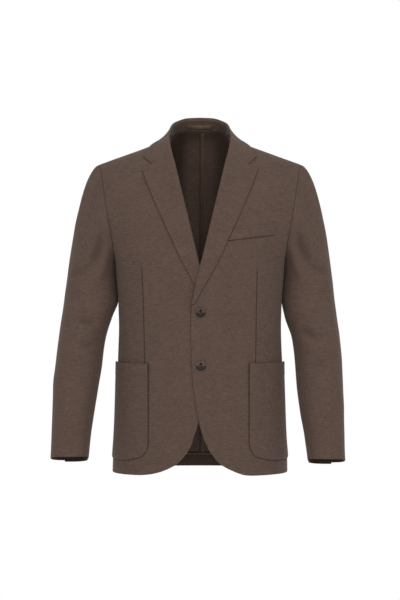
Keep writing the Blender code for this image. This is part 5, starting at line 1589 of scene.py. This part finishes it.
def stitch_line(name, points, pitch, share, radius, skin):
    """A run of stitches along points (mm) lying on a face."""
    points = np.asarray(points, float)
    seg = np.linalg.norm(np.diff(points, axis=0), axis=1)
    run = np.concatenate([[0], np.cumsum(seg)])
    ends = []
    for s in np.arange(0.5, run[-1] - pitch, pitch):
        a = [np.interp(s, run, points[:, i]) for i in range(3)]
        b = [np.interp(s + pitch * share, run, points[:, i]) for i in range(3)]
        ends.append((a, b))
    return bars(name, ends, radius, skin, 5)


for hand in (1, -1):
    make_front(hand)
    make_side(hand)
    make_back(hand)
    make_lapel(hand)
    make_sleeve(hand)
    make_pocket(hand)
make_collar()
make_welt()
make_tapes()
for button_name, (button_x, button_z) in BUTTONS.items():
    make_button(button_name, button_x, button_z)
    make_buttonhole(button_name + "_hole", (button_x + 4.0, button_z - 0.4), (button_x + 13.6, button_z - 0.4), 0.1, 1.15,
                    THREAD, grid_place("front_left_cloth"))
make_buttonhole("lapel_hole", (93.2, -69.6), (109.2, -78.3), 0.1, 1.0, THREAD, grid_place("lapel_left_cloth"))

# ---------------------------------------------------------------- floor, light and camera
floor_mesh = bpy.data.meshes.new("floor")
floor_mesh.from_pydata([(-4, -4, -2.2), (4, -4, -2.2), (4, 4, -2.2), (-4, 4, -2.2)], [], [(0, 1, 2, 3)])
floor = bpy.data.objects.new("floor", floor_mesh)
bpy.context.scene.collection.objects.link(floor)
pale, pale_tree, pale_shader = nodes_for("pale_floor")
pale_shader.inputs["Base Color"].default_value = (0.93, 0.93, 0.93, 1)
pale_shader.inputs["Roughness"].default_value = 0.9
pale_shader.inputs["Specular IOR Level"].default_value = 0.1
floor_mesh.materials.append(pale)

world = bpy.data.worlds.new("studio")
bpy.context.scene.world = world
world.use_nodes = True
backdrop = world.node_tree.nodes["Background"]
backdrop.inputs["Color"].default_value = (1, 1, 1, 1)
# white to look at, but only a faint light of its own: most light comes from the softboxes in front
seen = world.node_tree.nodes.new("ShaderNodeLightPath")
level = world.node_tree.nodes.new("ShaderNodeMapRange")
level.inputs["To Min"].default_value = 0.60
level.inputs["To Max"].default_value = 1.0
world.node_tree.links.new(seen.outputs["Is Camera Ray"], level.inputs["Value"])
world.node_tree.links.new(level.outputs["Result"], backdrop.inputs["Strength"])


def area_light(name, place, target, size, power):
    data = bpy.data.lights.new(name, "AREA")
    data.shape = "RECTANGLE"
    data.size, data.size_y = size
    data.energy = power
    light = bpy.data.objects.new(name, data)
    bpy.context.scene.collection.objects.link(light)
    light.location = place
    d = np.array(target, float) - np.array(place, float)
    from mathutils import Vector
    light.rotation_euler = Vector(d).to_track_quat("-Z", "Y").to_euler()
    return light


area_light("key", (1.3, -3.0, 2.3), (0, 0, -0.3), (2.2, 2.2), 50)
area_light("fill", (-1.7, -3.4, 1.1), (0, 0, -0.35), (2.2, 2.2), 26)
area_light("front", (0.1, -4.4, 0.15), (0, 0, -0.3), (1.2, 1.2), 14)

camera_data = bpy.data.cameras.new("camera")
camera_data.lens = 110.09
camera_data.sensor_width = 36.0
camera_data.sensor_fit = "AUTO"
camera_data.clip_end = 60
camera = bpy.data.objects.new("camera", camera_data)
bpy.context.scene.collection.objects.link(camera)
camera.location = (0, -4.0, -0.3423)
camera.rotation_euler = (PI / 2, 0, 0)
bpy.context.scene.camera = camera
bpy.context.scene.view_settings.view_transform = "Standard"
